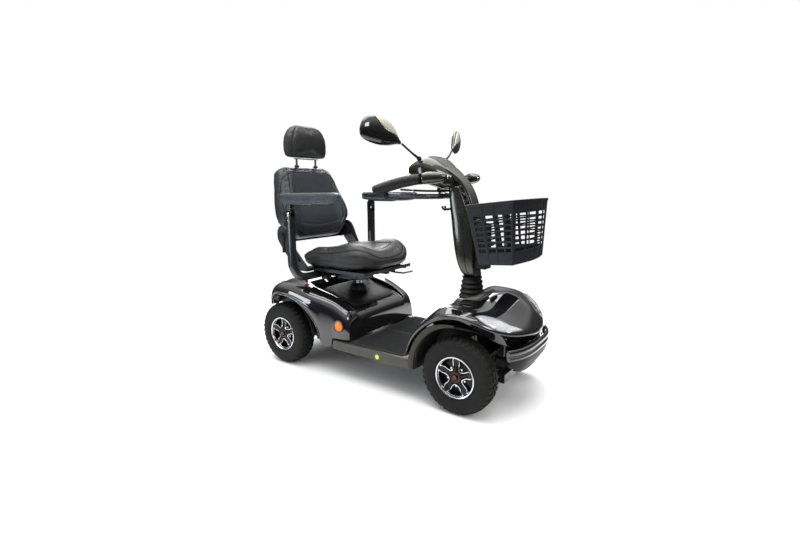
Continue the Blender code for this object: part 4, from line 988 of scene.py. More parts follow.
        bm = bmesh.new()
        add_lathe(bm, [(0.0, 0.0), (0.0, 0.012), (0.0022, 0.0118), (0.0034, 0.0095), (0.0038, 0.0)],
                  at(side * 0.3028, 0.406, 0.1665), (side, 0, 0), 28)
        new_object(f"sill_reflector_{word}", bm, "yellow", "chassis")

        bm = bmesh.new()
        rings = []
        for i in range(9):
            u = -1 + 2 * i / 8
            h, depth = 0.015 * math.sqrt(max(0.02, 1 - u**4)), 0.005 * (1 - u**4)
            x, y = side * (0.142 + 0.038 * u), 1.2086
            rings.append([at(x, y + dy, 0.3 + dz) for dy, dz in
                          ((-0.003, -h), (depth * 0.6, -h * 0.85), (depth, 0), (depth * 0.6, h * 0.85),
                           (-0.003, h))])
        add_loft(bm, rings)
        new_object(f"tail_lamp_{word}", bm, "red_lens", "chassis", levels=1)

    bm = bmesh.new()
    rings = []
    for i in range(25):
        x = 0.215 * math.sin(math.pi / 2 * (i / 12 - 1))
        y = 1.2225 - 0.55 * x * x
        rings.append([at(x, y + dy, z) for dy, z in
                      ((-0.001, 0.196), (0.0, 0.206), (-0.003, 0.214), (-0.003, 0.222), (0.0, 0.23),
                       (-0.001, 0.242), (-0.006, 0.2475), (-0.019, 0.249), (-0.019, 0.191),
                       (-0.006, 0.1915))])
    add_loft(bm, rings)
    new_object("rear_bumper_bar", bm, "matte", "chassis", levels=1, replaces=["rear_bumper"])

    base = at(-0.225, 0.94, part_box("freewheel_lever")[0].z)
    bm = bmesh.new()
    add_tube(bm, [base, base + Vector((0, 0, 0.012))], 0.0045, 12)
    add_lathe(bm, [(0.006, 0.004), (0.007, 0.0085), (0.011, 0.0092), (0.014, 0.008),
                   (0.0145, 0.007), (0.015, 0.008), (0.0195, 0.009), (0.023, 0.0066),
                   (0.0235, 0.0)], base, (0, 0, 1), 24)
    add_lathe(bm, [(0.0005, 0.0), (0.0005, 0.0105), (0.006, 0.0105), (0.008, 0.008), (0.008, 0.0)],
              base, (0, 0, 1), 24,
              mat=1)
    new_object("freewheel_lever_knob", bm, ["red", "white"], "freewheel_lever", replaces=["freewheel_lever"])
    bm = bmesh.new()
    add_tube(bm, [base + Vector((0, -0.02, -0.004)), base + Vector((0, 0.02, -0.001))], 0.0065, 12,
             flat=0.5)
    new_object("freewheel_slot", bm, "matte", "chassis")


# ------------------------------------------------------------------ cushions


def baked(obj):
    """The object's shape with its modifiers, as a fresh mesh."""
    graph = bpy.context.evaluated_depsgraph_get()
    return bpy.data.meshes.new_from_object(obj.evaluated_get(graph))


# The cloth simulation's pressure and length, and the share of its inward shrinkage that is taken away
PRESSURE, CLOTH_FRAMES = 4.0, 20
HELD_IN = 0.85
# A stitch: its thread's half width, its length and the distance from one to the next
THREAD, STITCH, STITCH_PITCH = 0.00055, 0.0036, 0.0062


def swell(name, bm, voxel, cap, stay):
    """A padded body: remeshed, swollen by cloth pressure, and held where stay says."""
    obj = link_mesh(name, bm)
    mod = obj.modifiers.new("remesh", "REMESH")
    mod.mode = "VOXEL"
    mod.voxel_size = voxel * 1.0
    fresh = baked(obj)
    obj.modifiers.clear()
    obj.data = fresh
    start = [v.co.copy() for v in fresh.vertices]
    normals = [v.normal.copy() for v in fresh.vertices]
    mod = obj.modifiers.new("cloth", "CLOTH")
    mod.settings.use_pressure = True
    mod.settings.uniform_pressure_force = PRESSURE
    mod.settings.effector_weights.gravity = 0.0
    mod.settings.quality = 4
    for frame_number in range(1, CLOTH_FRAMES + 1):
        bpy.context.scene.frame_set(frame_number)
    swollen = baked(obj)
    moved = [v.co.copy() for v in swollen.vertices]
    obj.modifiers.clear()
    bpy.context.scene.frame_set(1)
    for vertex, before, after, out in zip(fresh.vertices, start, moved, normals):
        step = after - before
        step -= out * (HELD_IN * min(0.0, step.dot(out)))
        if step.length > cap:
            step = step.normalized() * cap
        vertex.co = stay(before + step)
    work = bmesh.new()
    work.from_mesh(fresh)
    for _ in range(4):
        bmesh.ops.smooth_vert(work, verts=work.verts, factor=0.5, use_axis_x=True, use_axis_y=True,
                              use_axis_z=True)
    for vertex in work.verts:
        vertex.co = stay(vertex.co)
    work.to_mesh(fresh)
    work.free()
    subdivide(obj, 1)
    finer = baked(obj)
    obj.modifiers.clear()
    obj.data = finer
    return obj


def groove(obj, lines, depth, width):
    """Presses sewn channels into a pad along lines of (point, normal)."""
    spots = [p for line in lines for p, _ in line]
    tree = KDTree(len(spots))
    for i, p in enumerate(spots):
        tree.insert(p, i)
    tree.balance()
    normals = [v.normal.copy() for v in obj.data.vertices]
    for vertex, normal in zip(obj.data.vertices, normals):
        _, _, gap = tree.find(vertex.co)
        if gap < 3 * width:
            vertex.co -= normal * depth * math.exp(-((gap / width) ** 2))


def drape(obj, points, direction, reach=0.2):
    """Points dropped on to a pad's surface along a direction, as (point, normal)."""
    bm = bmesh.new()
    bm.from_mesh(obj.data)
    tree = BVHTree.FromBMesh(bm)
    out = []
    for p in points:
        way = direction(p) if callable(direction) else direction
        hit, normal, _, _ = tree.ray_cast(p - way * reach, way)
        if hit is not None:
            out.append((hit, normal))
    bm.free()
    return out


def stitches(name, pad, seams, gap, direction, body):
    """Short raised threads on a pad, in a row on each side of every seam line."""
    bm = bmesh.new()
    for seam in seams:
        for shift in (-gap, gap):
            moved = []
            for (p, n), (q, _) in zip(seam, seam[1:]):
                moved.append(p + (q - p).normalized().cross(n).normalized() * shift)
            add_threads(bm, drape(pad, moved, direction))
    new_object(name, bm, "thread", body)


def add_threads(bm, line):
    """Adds one row of stitches along a line that lies on a pad."""
    travelled = 0.0
    for (p, n), (q, _) in zip(line, line[1:]):
        span = (q - p).length
        if span < 1e-6 or span > 0.03:
            continue
        along = (q - p) / span
        side, up = along.cross(n).normalized() * THREAD, n * THREAD
        while travelled < span:
            start = p + along * travelled
            ends = (start, start + along * STITCH)
            add_loft(bm, [[c + up * 0.6 + side * s + up * t for s, t in ((-1, 0), (0, 1), (1, 0), (0, -1))]
                          for c in ends])
            travelled += STITCH_PITCH
        travelled -= span


def piping(name, line, sink, radius, body):
    """A welt round a pad, sunk a little into the closed line that it follows."""
    bm = bmesh.new()
    add_loft(bm, [circle(point, *frame_along(along), radius, 8)
                  for point, along in along_loop([p - n * sink for p, n in line])], close=True)
    new_object(name, bm, "vinyl_dark", body)


def finish_pad(obj, mat, body, node):
    """Colours a pad, shades it smooth, hides its CAD solid and puts it on its body."""
    obj.data.materials.clear()
    obj.data.materials.append(M[mat])
    obj.data.shade_smooth()
    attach(obj, body)
    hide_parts(node)


# The seat cushion's middle and its half length
SEAT_MID_Y = 0.754
SEAT_REACH = 0.235


def seat_plan(u, v):
    """Where a square's point (u, v) lies in the cushion's plan."""
    c = math.hypot(u, v)
    if c < 1e-9:
        return 0.0, SEAT_MID_Y
    big = max(abs(u), abs(v))
    power = 3.6 if v < 0 else 9.0
    shrink = 1.0 / (abs(u / big) ** power + abs(v / big) ** power) ** (1 / power)
    x, y = u * shrink, v * shrink
    half = lookup([(-1.0, 0.206), (-0.6, 0.226), (-0.15, 0.2375), (0.5, 0.236), (1.0, 0.231)], v)
    return x * half, SEAT_MID_Y + y * SEAT_REACH


def seat_top(x, y):
    """Height of the seat's upper surface before it swells."""
    v = (y - SEAT_MID_Y) / SEAT_REACH
    bolster = math.exp(-(((abs(x) - 0.165) / 0.07) ** 2))
    raise_front = 0.03 * math.exp(-(((v + 0.45) / 0.42) ** 2)) * bolster
    z = 0.612 + raise_front + 0.01 * bolster * (1 - 0.5 * (v > 0) * v)
    z -= 0.012 * math.exp(-((x / 0.11) ** 2)) * math.exp(-(((v - 0.25) / 0.6) ** 2))
    fall = max(0.0, (-v - 0.55) / 0.45)
    z -= 0.034 * fall * fall
    rear = max(0.0, (v - 0.1) / 0.9)
    return z - 0.008 * rear * rear


def build_seat_cushion():
    """The wide seat with raised thighs, a waterfall front, piping and sewn channels."""
    bm = bmesh.new()
    cells = 26
    top, bottom = [], []
    for i in range(cells + 1):
        row_top, row_low = [], []
        for j in range(cells + 1):
            u, v = -1 + 2 * i / cells, -1 + 2 * j / cells
            x, y = seat_plan(u, v)
            edge = max(abs(u), abs(v))
            roll = max(0.0, (edge - 0.8) / 0.2)
            row_top.append(bm.verts.new(at(x, y, seat_top(x, y) - 0.022 * roll**2)))
            row_low.append(bm.verts.new(at(x * 0.95, SEAT_MID_Y + (y - SEAT_MID_Y) * 0.95,
                                           0.532 + 0.016 * roll**2)))
        top.append(row_top)
        bottom.append(row_low)
    for i in range(cells):
        for j in range(cells):
            bm.faces.new((top[i][j], top[i + 1][j], top[i + 1][j + 1], top[i][j + 1]))
            bm.faces.new((bottom[i][j], bottom[i][j + 1], bottom[i + 1][j + 1], bottom[i + 1][j]))
    rim = [(i, 0) for i in range(cells)] + [(cells, j) for j in range(cells)]
    rim += [(i, cells) for i in range(cells, 0, -1)] + [(0, j) for j in range(cells, 0, -1)]
    for (i, j), (k, m) in zip(rim, rim[1:] + rim[:1]):
        bm.faces.new((top[i][j], bottom[i][j], bottom[k][m], top[k][m]))

    def stay(p):
        """Keeps the pad on its pan, and clear of the arm posts and recline covers beside it."""
        edge = 0.24 if p.y > AXLE_Y + 0.93 else 0.25
        return Vector((min(edge, max(-edge, p.x)), p.y, max(p.z, 0.5262)))

    seat = swell("seat_cushion_padded", bm, 0.006, 0.014, stay)
    down = Vector((0, 0, -1))
    ring = []
    for angle in turns(200):
        u, v = math.cos(angle), math.sin(angle)
        big = max(abs(u), abs(v))
        x, y = seat_plan(u / big * 0.905, v / big * 0.905)
        ring.append(at(x, y, 0.6))
    border = drape(seat, ring, down)
    lanes = []
    for side in (-1, 1):
        ys = [0.556 + 0.41 * i / 60 for i in range(61)]
        lane = [at(side * lookup([(0.56, 0.118), (0.65, 0.106), (0.83, 0.116), (0.96, 0.122)], y), y,
                   0.6) for y in ys]
        lanes.append(drape(seat, lane, down))
    cross = drape(seat, [at(-0.11 + 0.22 * i / 40, 0.626 - 0.014 * math.sin(math.pi * i / 40),
                            0.6) for i in range(41)],
                  down)

    def inward(p):
        return -Vector((p.x, p.y - AXLE_Y - SEAT_MID_Y, 0)).normalized()

    girth = [at(0.2 * math.cos(a), SEAT_MID_Y + 0.18 * math.sin(a), 0.57) for a in turns(200)]
    belt = drape(seat, [p - inward(p) * 0.2 for p in girth], inward, 0.1)
    groove(seat, [*lanes, cross], 0.003, 0.005)
    groove(seat, [border], 0.0035, 0.005)
    groove(seat, [belt], 0.003, 0.0045)
    finish_pad(seat, "vinyl_grey", "seat_slide", "seat_cushion")
    piping("seat_piping", border, 0.001, 0.0017, "seat_slide")
    stitches("seat_stitching", seat, [*lanes, cross], 0.0055, down, "seat_slide")


# The backrest's foot, its two directions, its half width at each height along its lean, and its length
BACK_FOOT = (1.06, 0.655)
BACK_UP = Vector((0, math.sin(BACK_LEAN), math.cos(BACK_LEAN)))
BACK_AHEAD = Vector((0, -math.cos(BACK_LEAN), math.sin(BACK_LEAN)))
BACK_HALF = [(0.0, 0.196), (0.045, 0.212), (0.078, 0.23), (0.105, 0.254), (0.15, 0.261), (0.2, 0.256),
             (0.28, 0.238), (0.35, 0.222), (0.4, 0.21)]
BACK_TALL = 0.414
BACK_PLANE = -0.044


def back_place(x, up, forward):
    """A point of the backrest: across, along its lean, and towards the rider."""
    return at(x, *BACK_FOOT) + BACK_UP * up + BACK_AHEAD * forward


def square_off(angle):
    """A direction's point on a square, and what pulls it in to a rounded one."""
    c, s = math.cos(angle), math.sin(angle)
    big = max(abs(c), abs(s))
    c, s = c / big, s / big
    return c, s, (abs(c) ** 5 + abs(s) ** 5) ** (-1 / 5)


def build_back_cushion():
    """The backrest pad: a boxed edge, side bolsters and a sewn centre panel."""
    bm = bmesh.new()
    wide, tall = 24, 26
    faces = {}
    for layer in ("front", "rear"):
        grid_rows = []
        for j in range(tall + 1):
            t = j / tall
            up = 0.008 + (BACK_TALL - 0.008) * t
            half = lookup(BACK_HALF, up) - 0.008
            row = []
            for i in range(wide + 1):
                u = -1 + 2 * i / wide
                corner = 0.03 * max(0.0, (abs(u) - 0.72) / 0.28) ** 2
                place_up = up + (corner if t < 0.5 else -corner) * abs(2 * t - 1) ** 4
                x = u * half
                if layer == "front":
                    bolster = math.exp(-(((abs(u) - 0.86) / 0.2) ** 2))
                    wing = 0.012 + 0.022 * math.exp(-(((up - 0.125) / 0.115) ** 2))
                    edge = max(0.0, (abs(u) - 0.9) / 0.1) ** 2 * 0.01
                    edge += max(0.0, abs(2 * t - 1) - 0.86) / 0.14 * 0.01
                    ahead = 0.026 + wing * bolster * math.sin(math.pi * min(1.0, t * 0.9 + 0.1)) - edge
                    ahead += 0.006 * math.exp(-(((t - 0.25) / 0.18) ** 2)) * (1 - u * u)
                else:
                    ahead = -0.04
                    x *= 0.975
                row.append(bm.verts.new(back_place(x, place_up, ahead)))
            grid_rows.append(row)
        faces[layer] = grid_rows
    front, rear = faces["front"], faces["rear"]
    for j in range(tall):
        for i in range(wide):
            bm.faces.new((front[j][i], front[j][i + 1], front[j + 1][i + 1], front[j + 1][i]))
            bm.faces.new((rear[j][i], rear[j + 1][i], rear[j + 1][i + 1], rear[j][i + 1]))
    rim = [(0, i) for i in range(wide)] + [(j, wide) for j in range(tall)]
    rim += [(tall, i) for i in range(wide, 0, -1)] + [(j, 0) for j in range(tall, 0, -1)]
    for (j, i), (m, k) in zip(rim, rim[1:] + rim[:1]):
        bm.faces.new((front[j][i], rear[j][i], rear[m][k], front[m][k]))

    def stay(p):
        ahead = (p - at(0, *BACK_FOOT)).dot(BACK_AHEAD)
        return p + BACK_AHEAD * max(0.0, BACK_PLANE - ahead)

    pad = swell("backrest_cushion_padded", bm, 0.006, 0.012, stay)
    into = -BACK_AHEAD
    lanes = []
    for side in (-1, 1):
        line = []
        for i in range(61):
            up = 0.03 + 0.345 * i / 60
            half = lookup(BACK_HALF, up)
            line.append(back_place(side * (half - 0.07), up, 0.0))
        lanes.append(drape(pad, line, into))
    yoke = drape(pad, [back_place(-0.17 + 0.34 * i / 50, 0.095 - 0.022 * math.sin(math.pi * i / 50),
                                  0) for i in range(51)],
                 into)
    ring = []
    for angle in turns(220):
        c, s, pinch = square_off(angle)
        half = lookup(BACK_HALF, 0.2 + s * 0.178) - 0.012
        ring.append(back_place(c * half * pinch, 0.2 + s * 0.178 * pinch, 0))
    border = drape(pad, ring, into)
    groove(pad, lanes, 0.006, 0.0065)
    groove(pad, [yoke], 0.0012, 0.006)
    groove(pad, [border], 0.0032, 0.005)
    finish_pad(pad, "vinyl_blue", "backrest", "backrest_cushion")
    piping("backrest_piping", border, 0.0008, 0.0024, "backrest")
    stitches("backrest_stitching", pad, lanes, 0.0055, into, "backrest")

    bm = bmesh.new()
    rings = []
    for inset, ahead in ((0.03, -0.0442), (0.014, -0.047), (0.016, -0.05), (0.04, -0.0515)):
        ring = []
        for angle in turns(48):
            c, s, pinch = square_off(angle)
            up = 0.215 + s * pinch * (0.158 - inset)
            ring.append(back_place(c * pinch * (lookup(BACK_HALF, up) - inset - 0.012), up, ahead))
        rings.append(ring)
    add_loft(bm, rings)
    new_object("backrest_shell", bm, "matte", "backrest", levels=1)
    bm = bmesh.new()
    for side in SIDES.values():
        add_lathe(bm, [(0.0, 0.0), (0.0, 0.0135), (0.006, 0.013), (0.012, 0.0115), (0.0135, 0.0085),
                       (0.0135, 0.0064)],
                  at(side * 0.072, 1.145, 1.053), (0, 0.0, 1), 24)
    new_object("headrest_guides", bm, "matte", "backrest")


def build_headrest():
    """The domed head rest with its two side seams."""
    bm = bmesh.new()
    stations = [(1.11, 0.132, 0.026), (1.118, 0.143, 0.036), (1.145, 0.149, 0.042), (1.185, 0.149, 0.044),
                (1.22, 0.142, 0.042), (1.252, 0.124, 0.037), (1.272, 0.1, 0.029), (1.283, 0.07, 0.019)]
    rings = []
    for z, half, deep in stations:
        ring = []
        for angle in turns(40):
            s = math.sin(angle)
            x, y = bent(math.cos(angle), 0.62) * half, bent(s, 0.62) * deep
            if s < 0:
                y *= 1.0 - 0.16 * (1 - (x / half) ** 2)
            ring.append(at(x, 1.146 + y, z))
        rings.append(ring)
    add_loft(bm, rings)

    def stay(p):
        return Vector((p.x, p.y, max(p.z, 1.1046)))

    pad = swell("headrest_cushion_padded", bm, 0.005, 0.011, stay)
    back = Vector((0, 1, 0))
    lanes = []
    for side in (-1, 1):
        zs = [1.112 + 0.172 * i / 60 for i in range(61)]
        line = [at(side * lookup([(1.11, 0.118), (1.18, 0.124), (1.24, 0.106), (1.285, 0.07)], z),
                   1.15, z) for z in zs]
        lanes.append(drape(pad, line, back))
        lanes.append(drape(pad, line, -back))
    groove(pad, lanes, 0.0048, 0.005)
    finish_pad(pad, "vinyl_grey", "headrest", "headrest_cushion")
    stitches("headrest_stitching", pad, lanes[::2], 0.0048, back, "headrest")


# ------------------------------------------------------------ seat hardware


# The blocks under the seat that clamp the arm rests' tubes
CLAMP_X, CLAMP_TOP = 0.15, 0.5096


def build_seat_hardware():
    """Recline covers and bolts, arm clamps and knobs, frame bolts, and the rings on the post."""
    outline = [(0.96, 0.562), (0.985, 0.5575), (1.002, 0.558), (1.03, 0.572), (1.07, 0.615),
               (1.106, 0.66), (1.113, 0.688), (1.11, 0.716), (1.096, 0.736), (1.078, 0.743),
               (1.058, 0.74), (1.03, 0.715), (0.995, 0.64)]
    middle = sum((Vector(p) for p in outline), Vector((0, 0))) / len(outline)
    smooth_outline = [p.xy for p in curve([(*p, 0) for p in outline], 4, True)]
    for word, side in SIDES.items():
        bm = bmesh.new()
        rings = []
        for x, inset in ((0.2515, 0.0), (0.2585, 0.0), (0.2618, 0.0016), (0.263, 0.005),
                         (0.263, 0.012), (0.2618, 0.0135)):
            ring = []
            for p in smooth_outline:
                q = p + (middle - p).normalized() * inset
                ring.append(at(side * x, q.x, q.y))
            rings.append(ring)
        add_loft(bm, rings)
        new_object(f"recline_cover_shell_{word}", bm, "charcoal", "seat_slide",
                   replaces=[f"recline_cover_{word}"], angle=50)
        bm = bmesh.new()
        if side > 0:
            add_bolt(bm, at(side * 0.263, 1.075, 0.69), (side, 0, 0), 0.0072)
        add_bolt(bm, at(side * 0.263, 1.008, 0.59), (side, 0, 0), 0.005)
        new_object(f"recline_bolts_{word}", bm, "steel", "seat_slide")

        bm = bmesh.new()
        for front, rear in ((0.868, 0.881), (0.929, 0.94)):
            add_box(bm, at(side * CLAMP_X - 0.022, front, CLAMP_TOP - 0.052),
                    at(side * CLAMP_X + 0.022, rear, CLAMP_TOP))
        new_object(f"arm_clamp_{word}", bm, "steel", "seat_slide", bevel=0.002)
        bm = bmesh.new()
        axis = Vector((0, -1, 0))
        centre = at(side * CLAMP_X, 0.866, 0.483)
        add_tube(bm, [centre, centre + axis * 0.016], 0.005, 12)
        flat_side, flat_up = frame_along(axis)
        rings = []
        for depth, grow in ((0.01, 0.75), (0.012, 1.0), (0.022, 1.0), (0.026, 0.8), (0.027, 0.4)):
            ring = []
            for a in turns(48):
                r = (0.015 + 0.0032 * math.cos(5 * a)) * grow
                around = flat_side * (r * math.cos(a)) + flat_up * (r * math.sin(a))
                ring.append(centre + axis * depth + around)
            rings.append(ring)
        add_loft(bm, rings)
        new_object(f"arm_clamp_knob_{word}", bm, "matte", "seat_slide")

    bm = bmesh.new()
    for side in (-1, 1):
        for y in (0.6, 0.7, 0.84):
            add_bolt(bm, at(side * 0.06, y, 0.508), (0, 0, -1), 0.006)
    new_object("seat_frame_bolts", bm, "chrome", "seat_slide")

    bm = bmesh.new()
    for radius, z in ((0.0868, 0.4575), (0.0868, 0.463)):
        profile = [(-0.0014, radius - 0.002), (-0.0014, radius), (0.0, radius + 0.0012),
                   (0.0014, radius), (0.0014, radius - 0.002)]
        add_lathe(bm, profile, at(0, SEAT_Y, z), (0, 0, 1), 48, close=True)
    new_object("turntable_rings", bm, "chrome", "seat_swivel")
    bm = bmesh.new()
    for radius, z in ((0.0272, 0.43), (0.0272, 0.4385)):
        profile = [(-0.002, radius - 0.002), (-0.002, radius), (0.002, radius), (0.002, radius - 0.002)]
        add_lathe(bm, profile, at(0, SEAT_Y, z), (0, 0, 1), 40, close=True)
    new_object("post_rings", bm, "chrome", "seat_post")

    for name, parts in {
        "steel": ["seat_post", "seat_turntable", "seat_frame", "swivel_lever", "slide_lever",
                  "backrest_frame",
                  "handlebar", "steering_stem"],
        "matte": ["recline_lever"],
        "chrome": ["headrest_rods"],
    }.items():
        give(name, *parts)


# Where the arm rests' hinges are
ARM_X, ARM_Y, ARM_PIN_Z = 0.322, 0.933, 0.84


def build_arms():
    """Square-tube posts that curve under the seat, and grooved pads on their hinges."""
    for word, side in SIDES.items():
        path = [(ARM_X, ARM_Y, 0.816), (ARM_X, ARM_Y, 0.7), (ARM_X, ARM_Y, 0.575),
                (0.319, 0.93, 0.54), (0.306, 0.923, 0.508), (0.286, 0.913, 0.489), (0.258, 0.907, 0.4845),
                (0.232, 0.905, 0.4845), (0.128, 0.905, 0.4845)]
        bm = bmesh.new()
        points = curve([at(side * x, y, z) for x, y, z in path], 6)
        add_tube(bm, points, 0.0186, 24, power=0.42, hint=Vector((0, 1, 0)))
        new_object(f"arm_post_tube_{word}", bm, "steel", f"arm_post_{word}",
                   replaces=[f"arm_post_{word}"], angle=60)
        bm = bmesh.new()
        for y in (0.9165, 0.9495):
            add_box(bm, at(side * ARM_X - 0.015, y - 0.0022, 0.8),
                    at(side * ARM_X + 0.015, y + 0.0022, 0.857))
        add_box(bm, at(side * ARM_X - 0.015, 0.9143, 0.8), at(side * ARM_X + 0.015, 0.9517, 0.816))
        new_object(f"arm_hinge_fork_{word}", bm, "steel", f"arm_post_{word}", bevel=0.0015)
        bm = bmesh.new()
        add_bolt(bm, at(side * 0.3375, ARM_Y, 0.808), (side, 0, 0), 0.0085)
        add_bolt(bm, at(side * 0.3375, ARM_Y, 0.778), (side, 0, 0), 0.0045)
        new_object(f"arm_bolts_{word}", bm, "chrome", f"arm_post_{word}")

        body = f"armrest_{word}"
        stations = [(0.9905, 0.876, 0.902, 0.013), (0.988, 0.8715, 0.908, 0.02),
                    (0.98, 0.869, 0.9125, 0.0255), (0.96, 0.867, 0.9145, 0.0275),
                    (0.9, 0.861, 0.9155, 0.028), (0.8, 0.862, 0.9165, 0.028),
                    (0.7, 0.863, 0.9175, 0.0275), (0.66, 0.865, 0.918, 0.027),
                    (0.63, 0.869, 0.9175, 0.025), (0.612, 0.875, 0.915, 0.0215),
                    (0.603, 0.883, 0.91, 0.015), (0.6, 0.89, 0.904, 0.008)]
        bm = bmesh.new()
        rings = []
        for y, low, high, half in stations:
            middle, deep = (low + high) / 2, (high - low) / 2
            pinch = min(1.0, max(0.0, (y - 0.64) / 0.03)) * min(1.0, max(0.0, (0.992 - y) / 0.02))
            ring = []
            for a in turns(32, 0.5):
                c, h = math.cos(a), bent(math.sin(a), 0.62)
                x = bent(c, 0.5) * half
                dent = 0.009 * pinch * math.exp(-(((h + 0.12) / 0.34) ** 4))
                x -= math.copysign(dent, x) if abs(c) > 0.35 else 0.0
                ring.append(at(side * ARM_X + x, y, middle + h * deep))
            rings.append(ring)
        add_loft(bm, rings)
        pad = new_object(f"arm_pad_moulded_{word}", bm, "vinyl_arm", body, levels=2,
                         replaces=[f"arm_pad_{word}"])
        bm = bmesh.new()
        add_box(bm, at(side * ARM_X - 0.0125, 0.9195, 0.826), at(side * ARM_X + 0.0125, 0.9465, 0.868))
        add_box(bm, at(side * ARM_X - 0.018, 0.76, 0.859), at(side * ARM_X + 0.018, 0.938, 0.866))
        new_object(f"arm_pad_base_{word}", bm, "steel", body, bevel=0.002)
        bm = bmesh.new()
        add_lathe(bm, [(-0.025, 0.0), (-0.025, 0.0055), (0.025, 0.0055), (0.0262, 0.004), (0.0262, 0.0)],
                  at(side * ARM_X, ARM_Y, ARM_PIN_Z), (0, 1, 0), 20)
        new_object(f"arm_pivot_pin_{word}", bm, "chrome", body)


# ------------------------------------------------------------------- tiller


# The column from its foot up: height, front and rear faces, half width
COLUMN = [
    (0.533, 0.046, 0.11, 0.026), (0.538, 0.0455, 0.1135, 0.031), (0.55, 0.05, 0.124, 0.037),
    (0.57, 0.056, 0.138, 0.042), (0.62, 0.056, 0.1555, 0.046), (0.68, 0.056, 0.1665, 0.047),
    (0.74, 0.0565, 0.1755, 0.047), (0.794, 0.059, 0.1815, 0.046), (0.83, 0.088, 0.1865, 0.045),
    (0.88, 0.108, 0.192, 0.044), (0.9315, 0.13, 0.197, 0.042), (0.95, 0.138, 0.1985, 0.04),
]


def build_column():
    """The column, its front channel, the basket's bracket, the bellows and the tilt lever."""
    bm = bmesh.new()
    rings = []
    for z, front, rear, half in COLUMN:
        ring = []
        profile = [(0.0, -1.0), (0.62, -1.0), (0.84, -0.99), (0.97, -0.94), (1.0, -0.8),
                   (0.995, -0.3), (0.985, 0.3), (0.93, 0.66), (0.78, 0.87), (0.45, 0.97), (0.0, 1.0)]
        full = profile + [(-x, d) for x, d in reversed(profile[1:-1])]
        for x, d in full:
            groove_in = 0.0055 if abs(x) < 0.7 and d < -0.9 else 0.0
            ring.append(at(x * half, (front + rear) / 2 + d * (rear - front) / 2 + groove_in, z))
        rings.append(ring)
    add_loft(bm, rings)
    new_object("tiller_column_shell", bm, "olive", "tiller", levels=2, replaces=["tiller_column"])

    bm = bmesh.new()
    for side in (-1, 1):
        line = [at(side * (half * 0.99 + 0.0006), (front + rear) / 2 - 0.006, z)
                for z, front, rear, half in COLUMN[2:-1]]
        add_tube(bm, curve(line, 3), 0.0012, 6)
    new_object("column_shut_lines", bm, "matte", "tiller")

    bm = bmesh.new()
    rings = []
    for z, front, _, half in COLUMN[3:10]:
        rings.append([at(x * half, front + dy, z) for x, dy in
                      ((-0.66, 0.008), (-0.66, 0.002), (-0.6, -0.0005), (0.6, -0.0005),
                       (0.66, 0.002), (0.66, 0.008))])
    add_loft(bm, rings)
    new_object("column_front_channel", bm, "matte", "tiller", levels=1)

    bm = bmesh.new()
    add_box(bm, at(-0.03, 0.001, 0.576), at(0.03, 0.056, 0.618))
    add_box(bm, at(-0.024, -0.015, 0.68), at(0.024, 0.056, 0.7))
    add_box(bm, at(-0.03, 0.002, 0.62), at(-0.024, 0.056, 0.78))
    add_box(bm, at(0.024, 0.002, 0.62), at(0.03, 0.056, 0.78))
    new_object("basket_bracket", bm, "matte", "tiller", bevel=0.003)
    bm = bmesh.new()
    add_box(bm, at(-0.017, 0.0665, 0.466), at(0.017, 0.0935, 0.56))
    new_object("tilt_tongue", bm, "steel", "tiller", bevel=0.004)

    folds, low, high = 6, 0.4, 0.532
    profile = []
    for i in range(2 * folds + 1):
        t = i / (2 * folds)
        radius = 0.06 - 0.02 * t + (0.0 if i % 2 else 0.0085) * (1 - 0.35 * t)
        z = low + (high - low) * t
        if i % 2:
            profile += [(z - 0.0016, radius), (z + 0.0016, radius)]
        else:
            profile += [(z - 0.0022, radius - 0.0008), (z, radius), (z + 0.0022, radius - 0.0008)]
    profile = [(0.3985, 0.066)] + profile[1:]
    bm = bmesh.new()
    rows = []
    for z, radius in profile:
        rows.append([at(math.cos(a) * radius * 1.02, STEM_Y + math.sin(a) * radius, z) for a in turns(48)])
    add_loft(bm, rows, caps=False)
    boot = link_mesh("stem_bellows", bm)
    boot.data.materials.append(M["matte"])
    boot.data.shade_smooth()
    solidify(boot, 0.0022)
    subdivide(boot, 1)
    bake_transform(boot)
    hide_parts("tiller_boot")

    bm = bmesh.new()
    add_lathe(bm, [(0.0, 0.0), (0.0, 0.01), (0.006, 0.01), (0.008, 0.0075), (0.008, 0.0)],
              at(0.0475, 0.112, 0.6),
              (1, 0, 0), 24)
    add_tube(bm, [at(0.0528, 0.112, 0.6), at(0.0528, 0.135, 0.601), at(0.0535, 0.158, 0.6),
                  at(0.0535, 0.168, 0.6)],
             [0.005, 0.005, 0.0068, 0.005], 16, flat=0.45)
    new_object("tilt_lever_handle", bm, "matte", "tiller_lever", replaces=["tiller_lever"], angle=50)


DASH_Z = 1.02


